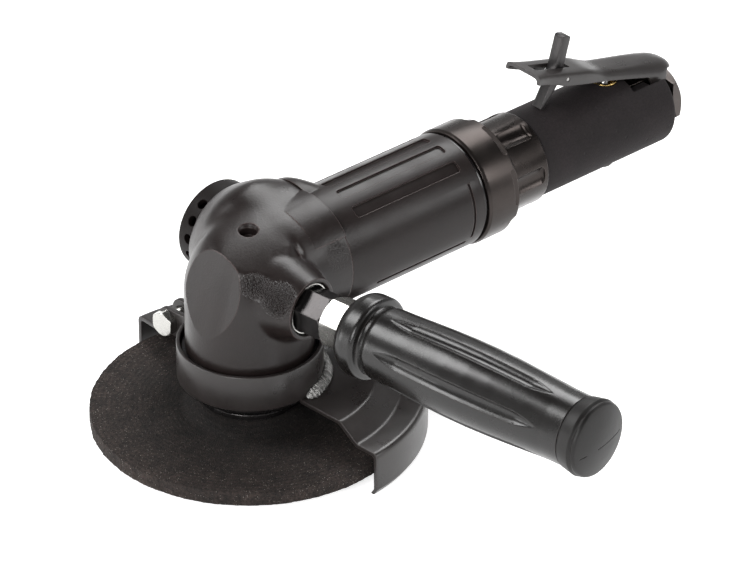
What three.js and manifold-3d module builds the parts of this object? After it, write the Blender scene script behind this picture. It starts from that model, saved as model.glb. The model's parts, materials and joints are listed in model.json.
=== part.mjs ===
// Pneumatic angle grinder: a right-angle air grinder for a 125 mm depressed-centre wheel, with a
// lever throttle, a side handle and a swivelling guard.
// Millimetres, +Z up. The origin is the centre of the spindle's free end, +X runs along the motor to
// the air inlet, and the side handle points towards -Y.
import * as THREE from "three";
import { mergeVertices } from "three/addons/utils/BufferGeometryUtils.js";
import Module from "manifold-3d";

const wasm = await Module();
wasm.setup();

const quarter = Math.PI / 2;
const half = Math.PI;
const full = 2 * Math.PI;
const turnOf = (degrees) => THREE.MathUtils.degToRad(degrees);

// Clearances
const seat = 0.2; // between two pieces that are fixed together
const running = 0.05; // between a shaft and its bearing, on the radius
const free = 0.4; // between pieces that move past each other
const overrun = 2; // how far a cut passes the face that it opens
const weld = 0.002; // corners closer than this are one corner

// Sides of round pieces
const sides = { large: 44, medium: 28, small: 14, inner: 18, tiny: 8, lever: 20, leverRows: 16, grip: 48, roof: 10 };

// Wheel, and the flange and nut that hold it
const wheel = { radius: 62.5, thickness: 6, boreRadius: 11.2, hubRise: 4.6, hubRadius: 19, hubSlope: 7, edge: 0.4 };
const flange = { radius: 20, rim: 2.2, height: 4.9, neckRadius: 11.5, pilotLength: 4 };
const nut = { radius: 17.5, height: 3.6, edge: 1.2, pinHoleRadius: 2.2, pinCircle: 12.5, pinHoleDepth: 2 };

// Spindle, its bearings and the cap that holds the lower one
const spindle = { threadRadius: 7, threadEdge: 1, bodyRadius: 7.5, gearSeatRadius: 6, tipRadius: 4, tipRise: 10.4 };
const cap = { standOff: 1.8, radius: 26.3, lip: 2.4, spigotRadius: 20.7, spigotHeight: 3.5, height: 15.5 };
const lowerBearing = { radius: 17.5, height: 11, ballCircle: 12.5, raceGap: 2.2, raceDepth: 0.8 };
const upperBearing = { radius: 9.5, height: 6, ballCircle: 6.8, raceGap: 1.4, raceDepth: 0.6 };
const sealRadius = 12.8;

// Head casting
const head = {
  radius: 24.8,
  cavityRadius: 18.4,
  shoulderDrop: 3.2,
  neckStart: 12,
  roofRadius: 12.5,
  roofStart: 4.2,
  roofEnd: 8.6,
  plugHoleRadius: 3.5,
  facetTilt: turnOf(16.2),
  facetTurn: turnOf(5.4),
  facetFoot: 14,
};

// The tower's top, as heights over the motor's axis: a slope that bends down along and across.
const roof = { rise: 21.7, slopeX: 0.152, slopeY: 0.173, bendX: 367, bendY: 86 };
const crown = { radius: 2.4, height: 29.7, rise: 25 };
// A round lobe along the far side of the neck, which runs on over the motor housing and fades there.
const lobe = { radius: 19, y: 11.4, rise: 5.6, start: 8, full: 33.5, end: 47, endRadius: 20, endY: 2.6, endRise: 0.8 };
const strap = { radius: 24.7, start: 19, end: 32.3, halfAngle: turnOf(52) };
const boss = {
  rootRadius: 18.6,
  root: 8,
  waistRadius: 16.8,
  waist: 18,
  faceRadius: 12.4,
  face: 31.5,
  counterboreRadius: 10.6,
  counterboreDepth: 5,
  boreDepth: 9,
};

// Exhaust bell and cap, on the far side of the head. The bell's outline is [radius, distance from the
// motor's axis], and it stays inside a round limit along the motor.
const exhaust = {
  x: 17,
  outline: [[22.5, -2], [24.5, 5], [26, 10], [27.4, 15], [28, 19], [27.1, 21], [25.2, 24], [23.5, 27], [21.6, 30], [20.8, 31]],
  limitRadius: 29.5,
  limitY: 8,
  limitRise: 4.7,
  spigotRadius: 14.6,
  spigotLength: 2.4,
  boreRadius: 9,
};
const exhaustCap = {
  radius: 18.2,
  length: 9.8,
  wall: 2.2,
  edge: 1.2,
  holes: 8,
  holePitch: turnOf(24),
  holeRadius: 2.1,
  holeInset: 6,
  firstHole: turnOf(-125.4),
};

// Bevel pair: both pitch cones meet where the two shafts' axes cross
const bevel = {
  gearTeeth: 20,
  pinionTeeth: 10,
  gearPitchRadius: 16.5,
  addendum: 1.2,
  dedendum: 1.6,
  innerShare: 0.62,
  rootWidthShare: 0.6,
  tipWidthShare: 0.22,
  gearHubRadius: 11,
  gearBodyDrop: 17.8,
  pinionHubRadius: 7.4,
};
const key = { width: 3, height: 2.8, length: 9, drop: 28.3 };

// Motor, along the grinder's length
const motor = {
  footRoom: 3.3, // over the guard's collar
  housingRadius: 23.3,
  bore: 20.6,
  spigotRadius: 20.4,
  spigotBore: 17.4,
  spigotStart: 19,
  webStart: 29.2,
  housingEnd: 100.3,
  threadRadius: 21.9,
  threadEnd: 109.8,
  neckBore: 20.6,
  neckBoreStart: 14,
};
const slot = { start: 41.5, end: 94.5, width: 5, depth: 0.9, round: 1.1 };
const slotAngles = [turnOf(11), turnOf(35)];
const lowerSlot = { start: 46.5, end: 92.5, width: 1.6, depth: 0.7, round: 0.5, angle: turnOf(119) };
const panelGroove = { start: 94.1, end: 95.2, depth: 0.8, from: turnOf(55), to: turnOf(115) };
const plate = { radius: 20.4, bearingStart: 0.4, wall: 2.2, shaftHoleRadius: 6, length: 10, start: 29.4 };
const frontBearing = { radius: 13, length: 7.4, boreRadius: 5, ballCircle: 9, raceGap: 1.8, raceDepth: 0.7 };
const rearBearing = { radius: 11, length: 6.8, boreRadius: 4, ballCircle: 7.5, raceGap: 1.5, raceDepth: 0.7 };
const cylinder = { length: 52, boreRadius: 14.7, offset: 1.5, portRadius: 3, portRow: 3, portPitch: 11 };
const rotor = { radius: 13, endGap: 0.2, pinionSeatRadius: 2.9 };
const vane = { count: 4, thickness: 1.7, depth: 6.2, retraction: 0.4 };
const rearPlateLength = 9.2;
const jointRing = { radius: 22.9, length: 1.4 };

// Clamp ring that draws the throttle body to the motor housing
const clampRing = {
  radius: 24,
  threadRoom: 0.2,
  end: 118.4,
  lipStart: 111.9,
  edge: 1.2,
  notches: 7,
  firstNotch: turnOf(26.5),
  notchStart: 115.1,
  notchHalfWidth: 7.4,
  notchRound: 1.5,
  notchFloor: 22.5,
};

// Throttle body, grip sleeve and air inlet
const body = {
  start: 101.7,
  flangeRadius: 20.3,
  flangeEnd: 111.7,
  noseRadius: 18.9,
  noseEnd: 137.6,
  coreRadius: 14,
  end: 209.4,
  flutes: 6,
  firstFlute: turnOf(26),
  fluteRadius: 6.4,
  fluteDepth: 1.1,
  fluteStart: 121,
  fluteEnd: 135.8,
  chestRadius: 12,
  chestEnd: 112,
};
const sleeve = {
  radius: 17.9,
  start: 137.9,
  end: 208,
  rearRound: 4,
  frontRound: 0.6,
  saddleStart: 190.5,
  saddleFloor: 5,
  saddleHalfWidth: 11,
};
const inlet = {
  neckRadius: 11,
  hexStart: 211.8,
  hexEnd: 217,
  acrossFlats: 24,
  edge: 2,
  boreRadius: 5.8,
  spigotRadius: 7.6,
  spigotLength: 13,
  turn: turnOf(20),
};
const screen = { thickness: 1, mouth: 0.4 };

// Throttle valve, across the grip
const valve = {
  x: 184.5,
  stemRadius: 2,
  headRadius: 4.4,
  headHeight: 2.2,
  tailRadius: 1.5,
  tailLength: 3.4,
  chamberRadius: 5.4,
  seatHeight: -1,
  bushingRadius: 4.3,
  bushingTop: 15.9,
  bushingRoom: 1.1,
  throatRadius: 3.3,
  throatTop: 9,
  portHeight: 4,
  portRadius: 2,
  airwayRadius: 4.6,
  airwayShift: 3.6,
  plugTop: -12.6,
  plugBottom: -20.6,
  plugNeckRadius: 5.2,
  plugHeadRadius: 4.2,
  plugHeadStart: -16.6,
  plugSocketRadius: 2.2,
  plugSocketDepth: 3,
};
const valveSpring = { coils: 4, radius: 3, wire: 0.4, gap: 0.15 };

// Throttle lever. Its own frame has its origin on the pivot pin and +X towards the wheel along the
// lever's plate.
const lever = {
  pivotX: 206.5,
  pivotRise: 10,
  tilt: turnOf(16),
  reach: 70.9,
  tail: 8.4,
  tailShare: 0.55,
  tailFall: 2,
  crown: 9.6,
  sheet: 1.4,
  depth: 14,
  rearHalfWidth: 8.9,
  waistHalfWidth: 7.9,
  waistShare: 0.42,
  waistDip: 1.3,
  frontHalfWidth: 8.4,
  frontShare: 0.62,
  flareHalfWidth: 9.7,
  rearSquareness: 2.6,
  waistSquareness: 4,
  frontSquareness: 8,
  earRadius: 3.4,
  earRise: 1,
  earFront: 7,
  rearSkirt: 6.9,
  skirt: 4.2,
  noseSkirt: 6.4,
  noseInset: 9.9,
};
const leverSlot = { behindPin: 5.7, frontInset: 4.1, width: 5.6, round: 0.6 };
const lug = { halfWidth: 6.2, rise: 4 };
const leverPin = { radius: 1.3, overhang: 1.4 };
const pinClip = { radius: 2.9, thickness: 0.7, gap: 0.2 };

// Lock-off latch, in the lever's frame
const latch = {
  frontInset: 17.5,
  pinZ: 6.9,
  thickness: 4.6,
  halfWidth: 2.2,
  tabTop: 15.9,
  tabLean: 0.1,
  tabRound: 1.2,
  footLean: turnOf(20.5),
  footGap: 0.25,
  footWidth: 1.3,
  hipDrop: 2.4,
};
const latchPin = { radius: 0.7 };
const latchSpring = { coils: 3, radius: 0.95, wire: 0.18, length: 2.2 };

// Side handle, along its own axis from the spindle's axis outwards
const handle = {
  drop: 0.8,
  sweep: turnOf(8.3),
  studRadius: 5.8,
  studStart: 22.9,
  studEnd: 72,
  washerRadius: 8.6,
  washerThickness: 1.2,
  nutAcrossFlats: 15.5,
  nutEnd: 42.3,
  nutEdge: 0.8,
  couplerEnd: 55,
  couplerAcrossFlats: 18,
  couplerEdge: 1.6,
};
const grip = {
  front: 53,
  pocketRadius: 10.9,
  bellyRadius: 15.7,
  end: 160,
  endRadius: 13.8,
  boreEnd: 74,
  flutes: 6,
  firstFlute: turnOf(28),
  fluteHalfAngle: turnOf(15),
  fluteDepth: 1.3,
  fluteStart: 73,
  fluteEnd: 150,
  fluteRun: 12.8,
  fluteFlat: 0.5,
  capBoreRadius: 8.4,
  capBoreDepth: 9,
};
const gripOutline = [
  [11.4, 53],
  [14.2, 54.4],
  [16.1, 56.8],
  [16.5, 58.6],
  [16.5, 63.6],
  [15.9, 64.5],
  [13.6, 65],
  [13.6, 67],
  [14.2, 68.6],
  [14.4, 75],
  [14.9, 85],
  [15.4, 95],
  [grip.bellyRadius, 105],
  [grip.bellyRadius, 115],
  [15.4, 125],
  [14.9, 135],
  [14.3, 145],
  [13.9, 152],
  [grip.endRadius, 160],
];
const endCap = { spigotRadius: 8.2, spigotLength: 8.4 };
const endCapOutline = [
  [13.7, 160.2],
  [14.2, 160.8],
  [15.2, 166],
  [14.3, 167],
  [14.8, 167.8],
  [13.5, 169],
  [11, 170.2],
  [7, 171],
  [0, 171.2],
];

// Wheel guard
const guard = {
  turn: turnOf(2),
  collarThickness: 1.5,
  collarRise: 2.2,
  collarHeight: 15.1,
  sheet: 1.6,
  plateGap: 0.3,
  plateInset: 1.2,
  stepInnerInset: 19.6,
  stepOuterInset: 10.5,
  stepDrop: 6.2,
  wheelRoom: 4.1,
  corner: 2.4,
  skirtBottom: -5,
  lipHeight: 2.4,
  lipInset: 1.6,
  halfAngle: turnOf(88),
};
const bead = { width: 3.6, height: 3.4, halfAngle: turnOf(84), gap: 0.2 };
const ear = {
  angle: turnOf(97),
  splitHalfWidth: 2.6,
  thickness: 2.4,
  reach: 15.2,
  height: 11,
  topDrop: 0.6,
  boltReach: 10.3,
  boltDrop: 5.4,
  corner: 4,
};
const bolt = { radius: 3, acrossFlats: 9.4, headHeight: 3.5, nutHeight: 4.6, tail: 1.8, edge: 0.6 };

// Heights and places that follow from the sizes above
const hubTop = wheel.hubRise + wheel.thickness;
const flangeBottom = hubTop + seat;
const flangeTop = flangeBottom + flange.height;
const capBottom = flangeTop + cap.standOff;
const capTop = capBottom + cap.height;
const headFoot = capTop + seat;
const lowerBearingBottom = capBottom + cap.lip + seat;
const lowerBearingTop = lowerBearingBottom + lowerBearing.height;
const collarRadius = cap.radius + free + guard.collarThickness;
const collarTop = capTop + guard.collarRise;
const collarBottom = collarTop - guard.collarHeight;
const plateTop = collarBottom - guard.plateGap;
const guardRadius = wheel.radius + guard.wheelRoom + guard.sheet;
const motorHeight = collarTop + motor.footRoom + motor.housingRadius;
const spindleTipStart = motorHeight + spindle.tipRise;
const upperBearingBottom = spindleTipStart + running;
const upperBearingTop = upperBearingBottom + upperBearing.height;
const plateEnd = plate.start + plate.length;
const cylinderStart = plateEnd + seat;
const cylinderEnd = cylinderStart + cylinder.length;
const rearPlateStart = cylinderEnd + seat;
const rearPlateEnd = rearPlateStart + rearPlateLength;
const exhaustMouth = exhaust.outline.at(-1)[1];
const handleHeight = motorHeight - handle.drop;
const pivotHeight = motorHeight + lever.pivotRise;
const latchX = lever.reach - latch.frontInset;
const earReach = collarRadius + ear.reach;
const boltRadius = collarRadius + ear.boltReach;

// Materials
const paint = (color, roughness, metalness) => new THREE.MeshStandardMaterial({ color, roughness, metalness });
const materials = {
  casting: paint(0x2b2b2c, 0.5, 0.4),
  housing: paint(0x333334, 0.45, 0.5),
  blackSteel: paint(0x232324, 0.42, 0.6),
  sheet: paint(0x2c2c2e, 0.45, 0.5),
  zinc: paint(0xc9c9c4, 0.3, 0.9),
  steel: paint(0x9a9a98, 0.35, 0.9),
  gearSteel: paint(0x77777a, 0.35, 0.9),
  rubber: paint(0x262524, 0.85, 0),
  plastic: paint(0x1f1e1e, 0.3, 0),
  grit: paint(0x35302e, 0.95, 0),
  weld: paint(0x8a8682, 0.45, 0.7),
  phenolic: paint(0x6d4b2c, 0.7, 0),
};

// Shapes: each one is a closed geometry, in millimetres

function solid(geometry) {
  const bare = new THREE.BufferGeometry();
  bare.setAttribute("position", geometry.getAttribute("position"));
  bare.setIndex(geometry.getIndex());
  const merged = mergeVertices(bare);
  const vertProperties = merged.attributes.position.array;
  return new wasm.Manifold(new wasm.Mesh({ numProp: 3, vertProperties, triVerts: new Uint32Array(merged.index.array) }));
}

function geometryOf(made) {
  const mesh = made.simplify(weld).getMesh();
  const geometry = new THREE.BufferGeometry();
  geometry.setAttribute("position", new THREE.BufferAttribute(new Float32Array(mesh.vertProperties), 3));
  geometry.setIndex(new THREE.BufferAttribute(new Uint32Array(mesh.triVerts), 1));
  return geometry;
}

const join = (first, ...others) => geometryOf(others.reduce((made, other) => made.add(solid(other)), solid(first)));
const cut = (first, ...others) => geometryOf(others.reduce((made, other) => made.subtract(solid(other)), solid(first)));
const common = (first, ...others) => geometryOf(others.reduce((made, other) => made.intersect(solid(other)), solid(first)));

// Outline corners are [radius, height], in the order that keeps the solid on the left.
function turned(outline, sideCount) {
  const points = outline.map(([radius, height]) => new THREE.Vector2(radius, height));
  if (points[0].x > 0) points.push(points[0].clone());
  return new THREE.LatheGeometry(points, sideCount).rotateX(quarter);
}

// The corner radius of a bore whose flats stay at the given radius.
const around = (radius, sideCount) => radius / Math.cos(half / sideCount);

const rod = (radius, from, to, sideCount) => turned([[0, from], [radius, from], [radius, to], [0, to]], sideCount);

const ring = (outer, inner, from, to, sideCount) =>
  turned([[inner, from], [outer, from], [outer, to], [inner, to]], sideCount);

function block([x0, x1], [y0, y1], [z0, z1]) {
  const geometry = new THREE.BoxGeometry(x1 - x0, y1 - y0, z1 - z0);
  return geometry.translate((x0 + x1) / 2, (y0 + y1) / 2, (z0 + z1) / 2);
}

function prism(corners, from, to) {
  const shape = new THREE.Shape(corners.map(([x, y]) => new THREE.Vector2(x, y)));
  return new THREE.ExtrudeGeometry(shape, { depth: to - from, bevelEnabled: false }).translate(0, 0, from);
}

function arc(centreX, centreY, radius, start, end, steps) {
  return Array.from({ length: steps + 1 }, (_, i) => {
    const angle = start + ((end - start) * i) / steps;
    return [centreX + radius * Math.cos(angle), centreY + radius * Math.sin(angle)];
  });
}

const roundedCorners = (x0, x1, y0, y1, radius) => [
  ...arc(x1 - radius, y0 + radius, radius, -quarter, 0, 3),
  ...arc(x1 - radius, y1 - radius, radius, 0, quarter, 3),
  ...arc(x0 + radius, y1 - radius, radius, quarter, half, 3),
  ...arc(x0 + radius, y0 + radius, radius, half, half + quarter, 3),
];

// A hexagonal bar with both ends turned to a chamfer.
function hexBar(acrossFlats, from, to, edge) {
  const corner = acrossFlats / Math.sqrt(3);
  const outline = [[0, from], [corner - edge, from], [corner, from + edge], [corner, to - edge], [corner - edge, to], [0, to]];
  return common(turned([[0, from], [corner, from], [corner, to], [0, to]], 6), turned(outline, sides.small));
}

// The part of a turn between two angles about the Z axis, as a wedge that reaches past the radius.
function wedge(radius, fromAngle, toAngle, from, to) {
  const steps = Math.max(2, Math.ceil((toAngle - fromAngle) / (quarter / 2)));
  const reach = radius * 2;
  return prism([[0, 0], ...arc(0, 0, reach, fromAngle, toAngle, steps)], from, to);
}

// A skin through a row of rings: shapeAt(share, angle) gives the point of the skin, and
// centreAt(share) the middle of its two end caps.
function skin(sideCount, rows, shapeAt, centreAt) {
  const geometry = new THREE.CylinderGeometry(1, 1, 1, sideCount, rows).rotateX(quarter);
  const position = geometry.getAttribute("position");
  for (let i = 0; i < position.count; i += 1) {
    const [x, y, z] = [position.getX(i), position.getY(i), position.getZ(i)];
    const share = z + 1 / 2;
    const point = Math.hypot(x, y) > 1 / 2 ? shapeAt(share, Math.atan2(y, x)) : centreAt(share);
    position.setXYZ(i, point[0], point[1], point[2]);
  }
  return geometry;
}

// A share from 0 to 1 that starts and ends gently.
const eased = (share) => (1 - Math.cos(half * Math.min(1, Math.max(0, share)))) / 2;
const blend = (from, to, share) => from + (to - from) * share;

function coil(radius, wire, from, to, coils) {
  const steps = coils * 10;
  const points = Array.from({ length: steps + 1 }, (_, i) => {
    const angle = (full * coils * i) / steps;
    const height = from + wire + ((to - from - 2 * wire) * i) / steps;
    return new THREE.Vector3(radius * Math.cos(angle), radius * Math.sin(angle), height);
  });
  const path = new THREE.CatmullRomCurve3(points);
  const outline = new THREE.Shape(arc(0, 0, wire, 0, full, 5).slice(0, -1).map(([x, y]) => new THREE.Vector2(x, y)));
  return new THREE.ExtrudeGeometry(outline, { steps, extrudePath: path, bevelEnabled: false });
}

// Places for shapes made about the Z axis
const onMotorAxis = (geometry) => geometry.rotateY(quarter).translate(0, 0, motorHeight);
const onHandleAxis = (geometry) => geometry.rotateX(quarter).rotateZ(handle.sweep).translate(0, 0, handleHeight);
const onExhaustAxis = (geometry) => geometry.rotateX(-quarter).translate(exhaust.x, 0, motorHeight);
const onValveAxis = (geometry) => geometry.translate(valve.x, 0, motorHeight);
const turnedAboutMotor = (geometry, angle) => geometry.rotateX(angle).translate(0, 0, motorHeight);
const inLeverFrame = (geometry) => geometry.rotateY(-lever.tilt).rotateZ(half).translate(lever.pivotX, 0, pivotHeight);

// A ball bearing, as one ring with the groove between its races.
function bearing(size, shaftRadius, from, sideCount) {
  const boreRadius = around(shaftRadius + running, sideCount);
  const to = from + (size.height ?? size.length);
  const inner = size.ballCircle - size.raceGap;
  const outer = size.ballCircle + size.raceGap;
  return turned(
    [
      [boreRadius, from],
      [inner, from],
      [inner, from + size.raceDepth],
      [outer, from + size.raceDepth],
      [outer, from],
      [size.radius, from],
      [size.radius, to],
      [outer, to],
      [outer, to - size.raceDepth],
      [inner, to - size.raceDepth],
      [inner, to],
      [boreRadius, to],
    ],
    sideCount,
  );
}

// Wheel, flange and nut

function grindingWheel() {
  const { radius, thickness, boreRadius, hubRise, hubRadius, hubSlope, edge } = wheel;
  return turned(
    [
      [boreRadius, hubRise],
      [hubRadius, hubRise],
      [hubRadius + hubSlope, 0],
      [radius - edge, 0],
      [radius, edge],
      [radius, thickness - edge],
      [radius - edge, thickness],
      [hubRadius + hubSlope + edge, thickness],
      [hubRadius + edge, hubTop],
      [boreRadius, hubTop],
    ],
    sides.large,
  );
}

function innerFlange() {
  const bore = spindle.threadRadius + seat;
  const pilot = wheel.boreRadius - seat;
  return turned(
    [
      [bore, hubTop - flange.pilotLength],
      [pilot, hubTop - flange.pilotLength],
      [pilot, flangeBottom],
      [flange.radius, flangeBottom],
      [flange.radius, flangeBottom + flange.rim],
      [flange.neckRadius, flangeTop],
      [bore, flangeTop],
    ],
    sides.inner,
  );
}

function lockNut() {
  const top = wheel.hubRise - seat;
  const bottom = top - nut.height;
  const bore = spindle.threadRadius + seat;
  const disc = turned(
    [[bore, bottom], [nut.radius - nut.edge, bottom], [nut.radius, bottom + nut.edge], [nut.radius, top], [bore, top]],
    sides.medium,
  );
  const pinHoles = [0, half].map((angle) =>
    rod(nut.pinHoleRadius, bottom - overrun, bottom + nut.pinHoleDepth, sides.tiny)
      .translate(nut.pinCircle, 0, 0)
      .rotateZ(angle),
  );
  return cut(disc, ...pinHoles);
}

// Spindle and what turns with it

function spindleShaft() {
  const { threadRadius, threadEdge, bodyRadius, gearSeatRadius, tipRadius } = spindle;
  const shaft = turned(
    [
      [0, 0],
      [threadRadius - threadEdge, 0],
      [threadRadius, threadEdge],
      [threadRadius, flangeTop + seat],
      [bodyRadius, flangeTop + seat],
      [bodyRadius, lowerBearingTop],
      [gearSeatRadius, lowerBearingTop],
      [gearSeatRadius, spindleTipStart],
      [tipRadius, spindleTipStart],
      [tipRadius, upperBearingTop],
      [0, upperBearingTop],
    ],
    sides.inner,
  );
  return cut(shaft, keyBlock(seat));
}

function keyBlock(room) {
  const middle = spindle.gearSeatRadius;
  const start = motorHeight - key.drop;
  return block(
    [middle - key.height / 2 - room, middle + key.height / 2 + room],
    [-key.width / 2 - room, key.width / 2 + room],
    [start - room, start + key.length + room],
  );
}

// One straight tooth of a bevel gear, whose edges all run to the apex. The gear lies below the apex,
// on the Z axis, and coneRadius is its pitch radius at the outer end.
function bevelTooth(coneRadius, coneHeight, teeth) {
  const slant = Math.hypot(coneRadius, coneHeight);
  const [outX, outZ] = [coneHeight / slant, coneRadius / slant];
  const pitchWidth = (full * coneRadius) / teeth;
  const rootDepth = bevel.dedendum + free;
  const tooth = new THREE.BoxGeometry(1, 1, 1, 1, 1, 1);
  const position = tooth.getAttribute("position");
  for (let i = 0; i < position.count; i += 1) {
    const atTip = position.getZ(i) > 0;
    const lift = atTip ? bevel.addendum : -rootDepth;
    const share = position.getX(i) > 0 ? 1 : bevel.innerShare;
    const width = pitchWidth * (atTip ? bevel.tipWidthShare : bevel.rootWidthShare);
    position.setXYZ(
      i,
      (coneRadius + lift * outX) * share,
      Math.sign(position.getY(i)) * (width / 2) * share,
      (-coneHeight + lift * outZ) * share,
    );
  }
  return tooth;
}

function bevelBlank(coneRadius, coneHeight, boreRadius, hubRadius, hubBottom, bodyBottom) {
  const slant = Math.hypot(coneRadius, coneHeight);
  const rootRadius = coneRadius - (bevel.dedendum * coneHeight) / slant;
  const rootHeight = -coneHeight - (bevel.dedendum * coneRadius) / slant;
  return turned(
    [
      [boreRadius, hubBottom],
      [hubRadius, hubBottom],
      [hubRadius, bodyBottom],
      [rootRadius, bodyBottom],
      [rootRadius, rootHeight],
      [rootRadius * bevel.innerShare, rootHeight * bevel.innerShare],
      [boreRadius, rootHeight * bevel.innerShare],
    ],
    sides.inner,
  );
}

const pinionPitchRadius = (bevel.gearPitchRadius * bevel.pinionTeeth) / bevel.gearTeeth;

function bevelGear() {
  const blank = bevelBlank(
    bevel.gearPitchRadius,
    pinionPitchRadius,
    spindle.gearSeatRadius + seat,
    bevel.gearHubRadius,
    lowerBearingTop + seat - motorHeight,
    -bevel.gearBodyDrop,
  );
  const teeth = Array.from({ length: bevel.gearTeeth }, (_, i) =>
    bevelTooth(bevel.gearPitchRadius, pinionPitchRadius, bevel.gearTeeth).rotateZ((full * (i + 1 / 2)) / bevel.gearTeeth),
  );
  return cut(join(blank, ...teeth).translate(0, 0, motorHeight), keyBlock(seat));
}

function pinion() {
  const blank = bevelBlank(
    pinionPitchRadius,
    bevel.gearPitchRadius,
    rotor.pinionSeatRadius + seat,
    bevel.pinionHubRadius,
    -plate.start,
    -plate.start + seat,
  );
  const teeth = Array.from({ length: bevel.pinionTeeth }, (_, i) =>
    bevelTooth(pinionPitchRadius, bevel.gearPitchRadius, bevel.pinionTeeth).rotateZ((full * i) / bevel.pinionTeeth),
  );
  return join(blank, ...teeth).rotateY(-quarter).translate(0, 0, motorHeight);
}

function lowerBearingRing() {
  return bearing(lowerBearing, spindle.bodyRadius, lowerBearingBottom, sides.inner);
}

function upperBearingRing() {
  return bearing(upperBearing, spindle.tipRadius, upperBearingBottom, sides.inner);
}

function spindleSeal() {
  const bore = around(spindle.bodyRadius + running, sides.inner);
  return ring(sealRadius, bore, capBottom, lowerBearingBottom - seat, sides.inner);
}

function bearingCap() {
  const lipBore = sealRadius + seat;
  const bore = lowerBearing.radius + seat;
  return turned(
    [
      [lipBore, capBottom],
      [cap.radius, capBottom],
      [cap.radius, capTop],
      [cap.spigotRadius, capTop],
      [cap.spigotRadius, capTop + cap.spigotHeight],
      [bore, capTop + cap.spigotHeight],
      [bore, lowerBearingBottom - seat],
      [lipBore, lowerBearingBottom - seat],
    ],
    sides.inner,
  );
}

// Head casting, with its neck, its handle boss and its exhaust boss

function headTower() {
  const base = motorHeight + crown.rise - crown.height;
  const shoulder = arc(0, 0, 1, 0, quarter, 8).map(([x, y]) => [
    crown.radius + (head.radius - crown.radius) * x,
    base + crown.height * y,
  ]);
  const tower = turned([[0, headFoot], [head.radius, headFoot], ...shoulder, [0, base + crown.height]], sides.large);
  const reach = head.radius + overrun;
  const lid = new THREE.BoxGeometry(2 * reach, 2 * reach, 1, sides.roof, sides.roof, 1);
  const position = lid.getAttribute("position");
  for (let i = 0; i < position.count; i += 1) {
    const [x, y] = [position.getX(i), position.getY(i)];
    const rise = roof.rise + roof.slopeX * x + roof.slopeY * y - x ** 2 / roof.bendX - y ** 2 / roof.bendY;
    position.setZ(i, position.getZ(i) > 0 ? motorHeight + rise : headFoot - overrun);
  }
  return common(tower, lid);
}

function headShell() {
  const limit = onMotorAxis(rod(exhaust.limitRadius, -head.radius, strap.end, sides.large));
  const neck = onMotorAxis(rod(motor.housingRadius, head.neckStart, strap.end, sides.large));
  const band = common(
    onMotorAxis(rod(strap.radius, strap.start, strap.end, sides.large)),
    onMotorAxis(wedge(strap.radius, half - strap.halfAngle, half + strap.halfAngle, 0, strap.end)),
  );
  const side = onMotorAxis(rod(lobe.radius, lobe.start, strap.end, sides.large)).translate(0, lobe.y, lobe.rise);
  const bell = common(
    onExhaustAxis(turned([[0, exhaust.outline[0][1]], ...exhaust.outline, [0, exhaustMouth]], sides.large)),
    limit.translate(0, exhaust.limitY, exhaust.limitRise),
  );
  const spigot = onExhaustAxis(rod(exhaust.spigotRadius, 0, exhaustMouth + exhaust.spigotLength, sides.medium));
  const handleBoss = onHandleAxis(
    turned(
      [
        [0, 0],
        [boss.rootRadius, boss.root],
        [boss.waistRadius, boss.waist],
        [boss.faceRadius, boss.face],
        [0, boss.face],
      ],
      sides.medium,
    ),
  );
  return join(headTower(), neck, band, side, bell, spigot, handleBoss);
}

function facetCut() {
  const depth = head.radius;
  return block([-2 * depth, 0], [-2 * depth, 2 * depth], [-2 * depth, 3 * depth])
    .rotateY(head.facetTilt)
    .translate(-head.radius, 0, headFoot + head.facetFoot)
    .rotateZ(head.facetTurn);
}

function gearHousing() {
  const spigotBore = cap.spigotRadius + seat;
  const spigotRoof = capTop + cap.spigotHeight + seat;
  const upperSeat = upperBearing.radius + seat;
  const ceiling = motorHeight + head.roofEnd;
  const top = motorHeight + crown.rise + overrun;
  const cavity = turned(
    [
      [0, headFoot - overrun],
      [spigotBore, headFoot - overrun],
      [spigotBore, spigotRoof],
      [head.cavityRadius, spigotRoof],
      [head.cavityRadius, motorHeight - head.shoulderDrop],
      [head.roofRadius, motorHeight + head.roofStart],
      [head.roofRadius, ceiling],
      [upperSeat, ceiling],
      [upperSeat, upperBearingTop + seat],
      [head.plugHoleRadius, upperBearingTop + seat],
      [head.plugHoleRadius, top],
      [0, top],
    ],
    sides.medium,
  );
  const neckBore = onMotorAxis(rod(motor.neckBore, motor.neckBoreStart, strap.end + overrun, sides.medium));
  const pinionRoom = onMotorAxis(
    rod(pinionPitchRadius + bevel.addendum + free, 0, motor.neckBoreStart + overrun, sides.inner),
  );
  const counterbore = onHandleAxis(
    rod(boss.counterboreRadius, boss.face - boss.counterboreDepth, boss.face + overrun, sides.medium),
  );
  const handleBore = onHandleAxis(rod(handle.studRadius + seat, boss.face - boss.boreDepth, boss.face, sides.small));
  const exhaustBore = onExhaustAxis(
    rod(exhaust.boreRadius, 0, exhaustMouth + exhaust.spigotLength + overrun, sides.small),
  );
  return cut(headShell(), facetCut(), cavity, neckBore, pinionRoom, counterbore, handleBore, exhaustBore);
}

function exhaustCapCup() {
  const start = exhaustMouth + seat;
  const end = start + exhaustCap.length;
  const inner = exhaustCap.radius - exhaustCap.wall;
  const cup = turned(
    [
      [inner, start],
      [exhaustCap.radius, start],
      [exhaustCap.radius, end - exhaustCap.edge],
      [exhaustCap.radius - exhaustCap.edge, end],
      [0, end],
      [0, end - exhaustCap.wall],
      [inner, end - exhaustCap.wall],
    ],
    sides.medium,
  );
  const holes = Array.from({ length: exhaustCap.holes }, (_, i) =>
    rod(exhaustCap.holeRadius, inner - overrun, exhaustCap.radius + overrun, sides.tiny)
      .rotateY(quarter)
      .rotateZ(exhaustCap.firstHole - exhaustCap.holePitch * i)
      .translate(0, 0, end - exhaustCap.holeInset),
  );
  return onExhaustAxis(cut(cup, ...holes));
}

// Motor housing and what it holds

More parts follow.
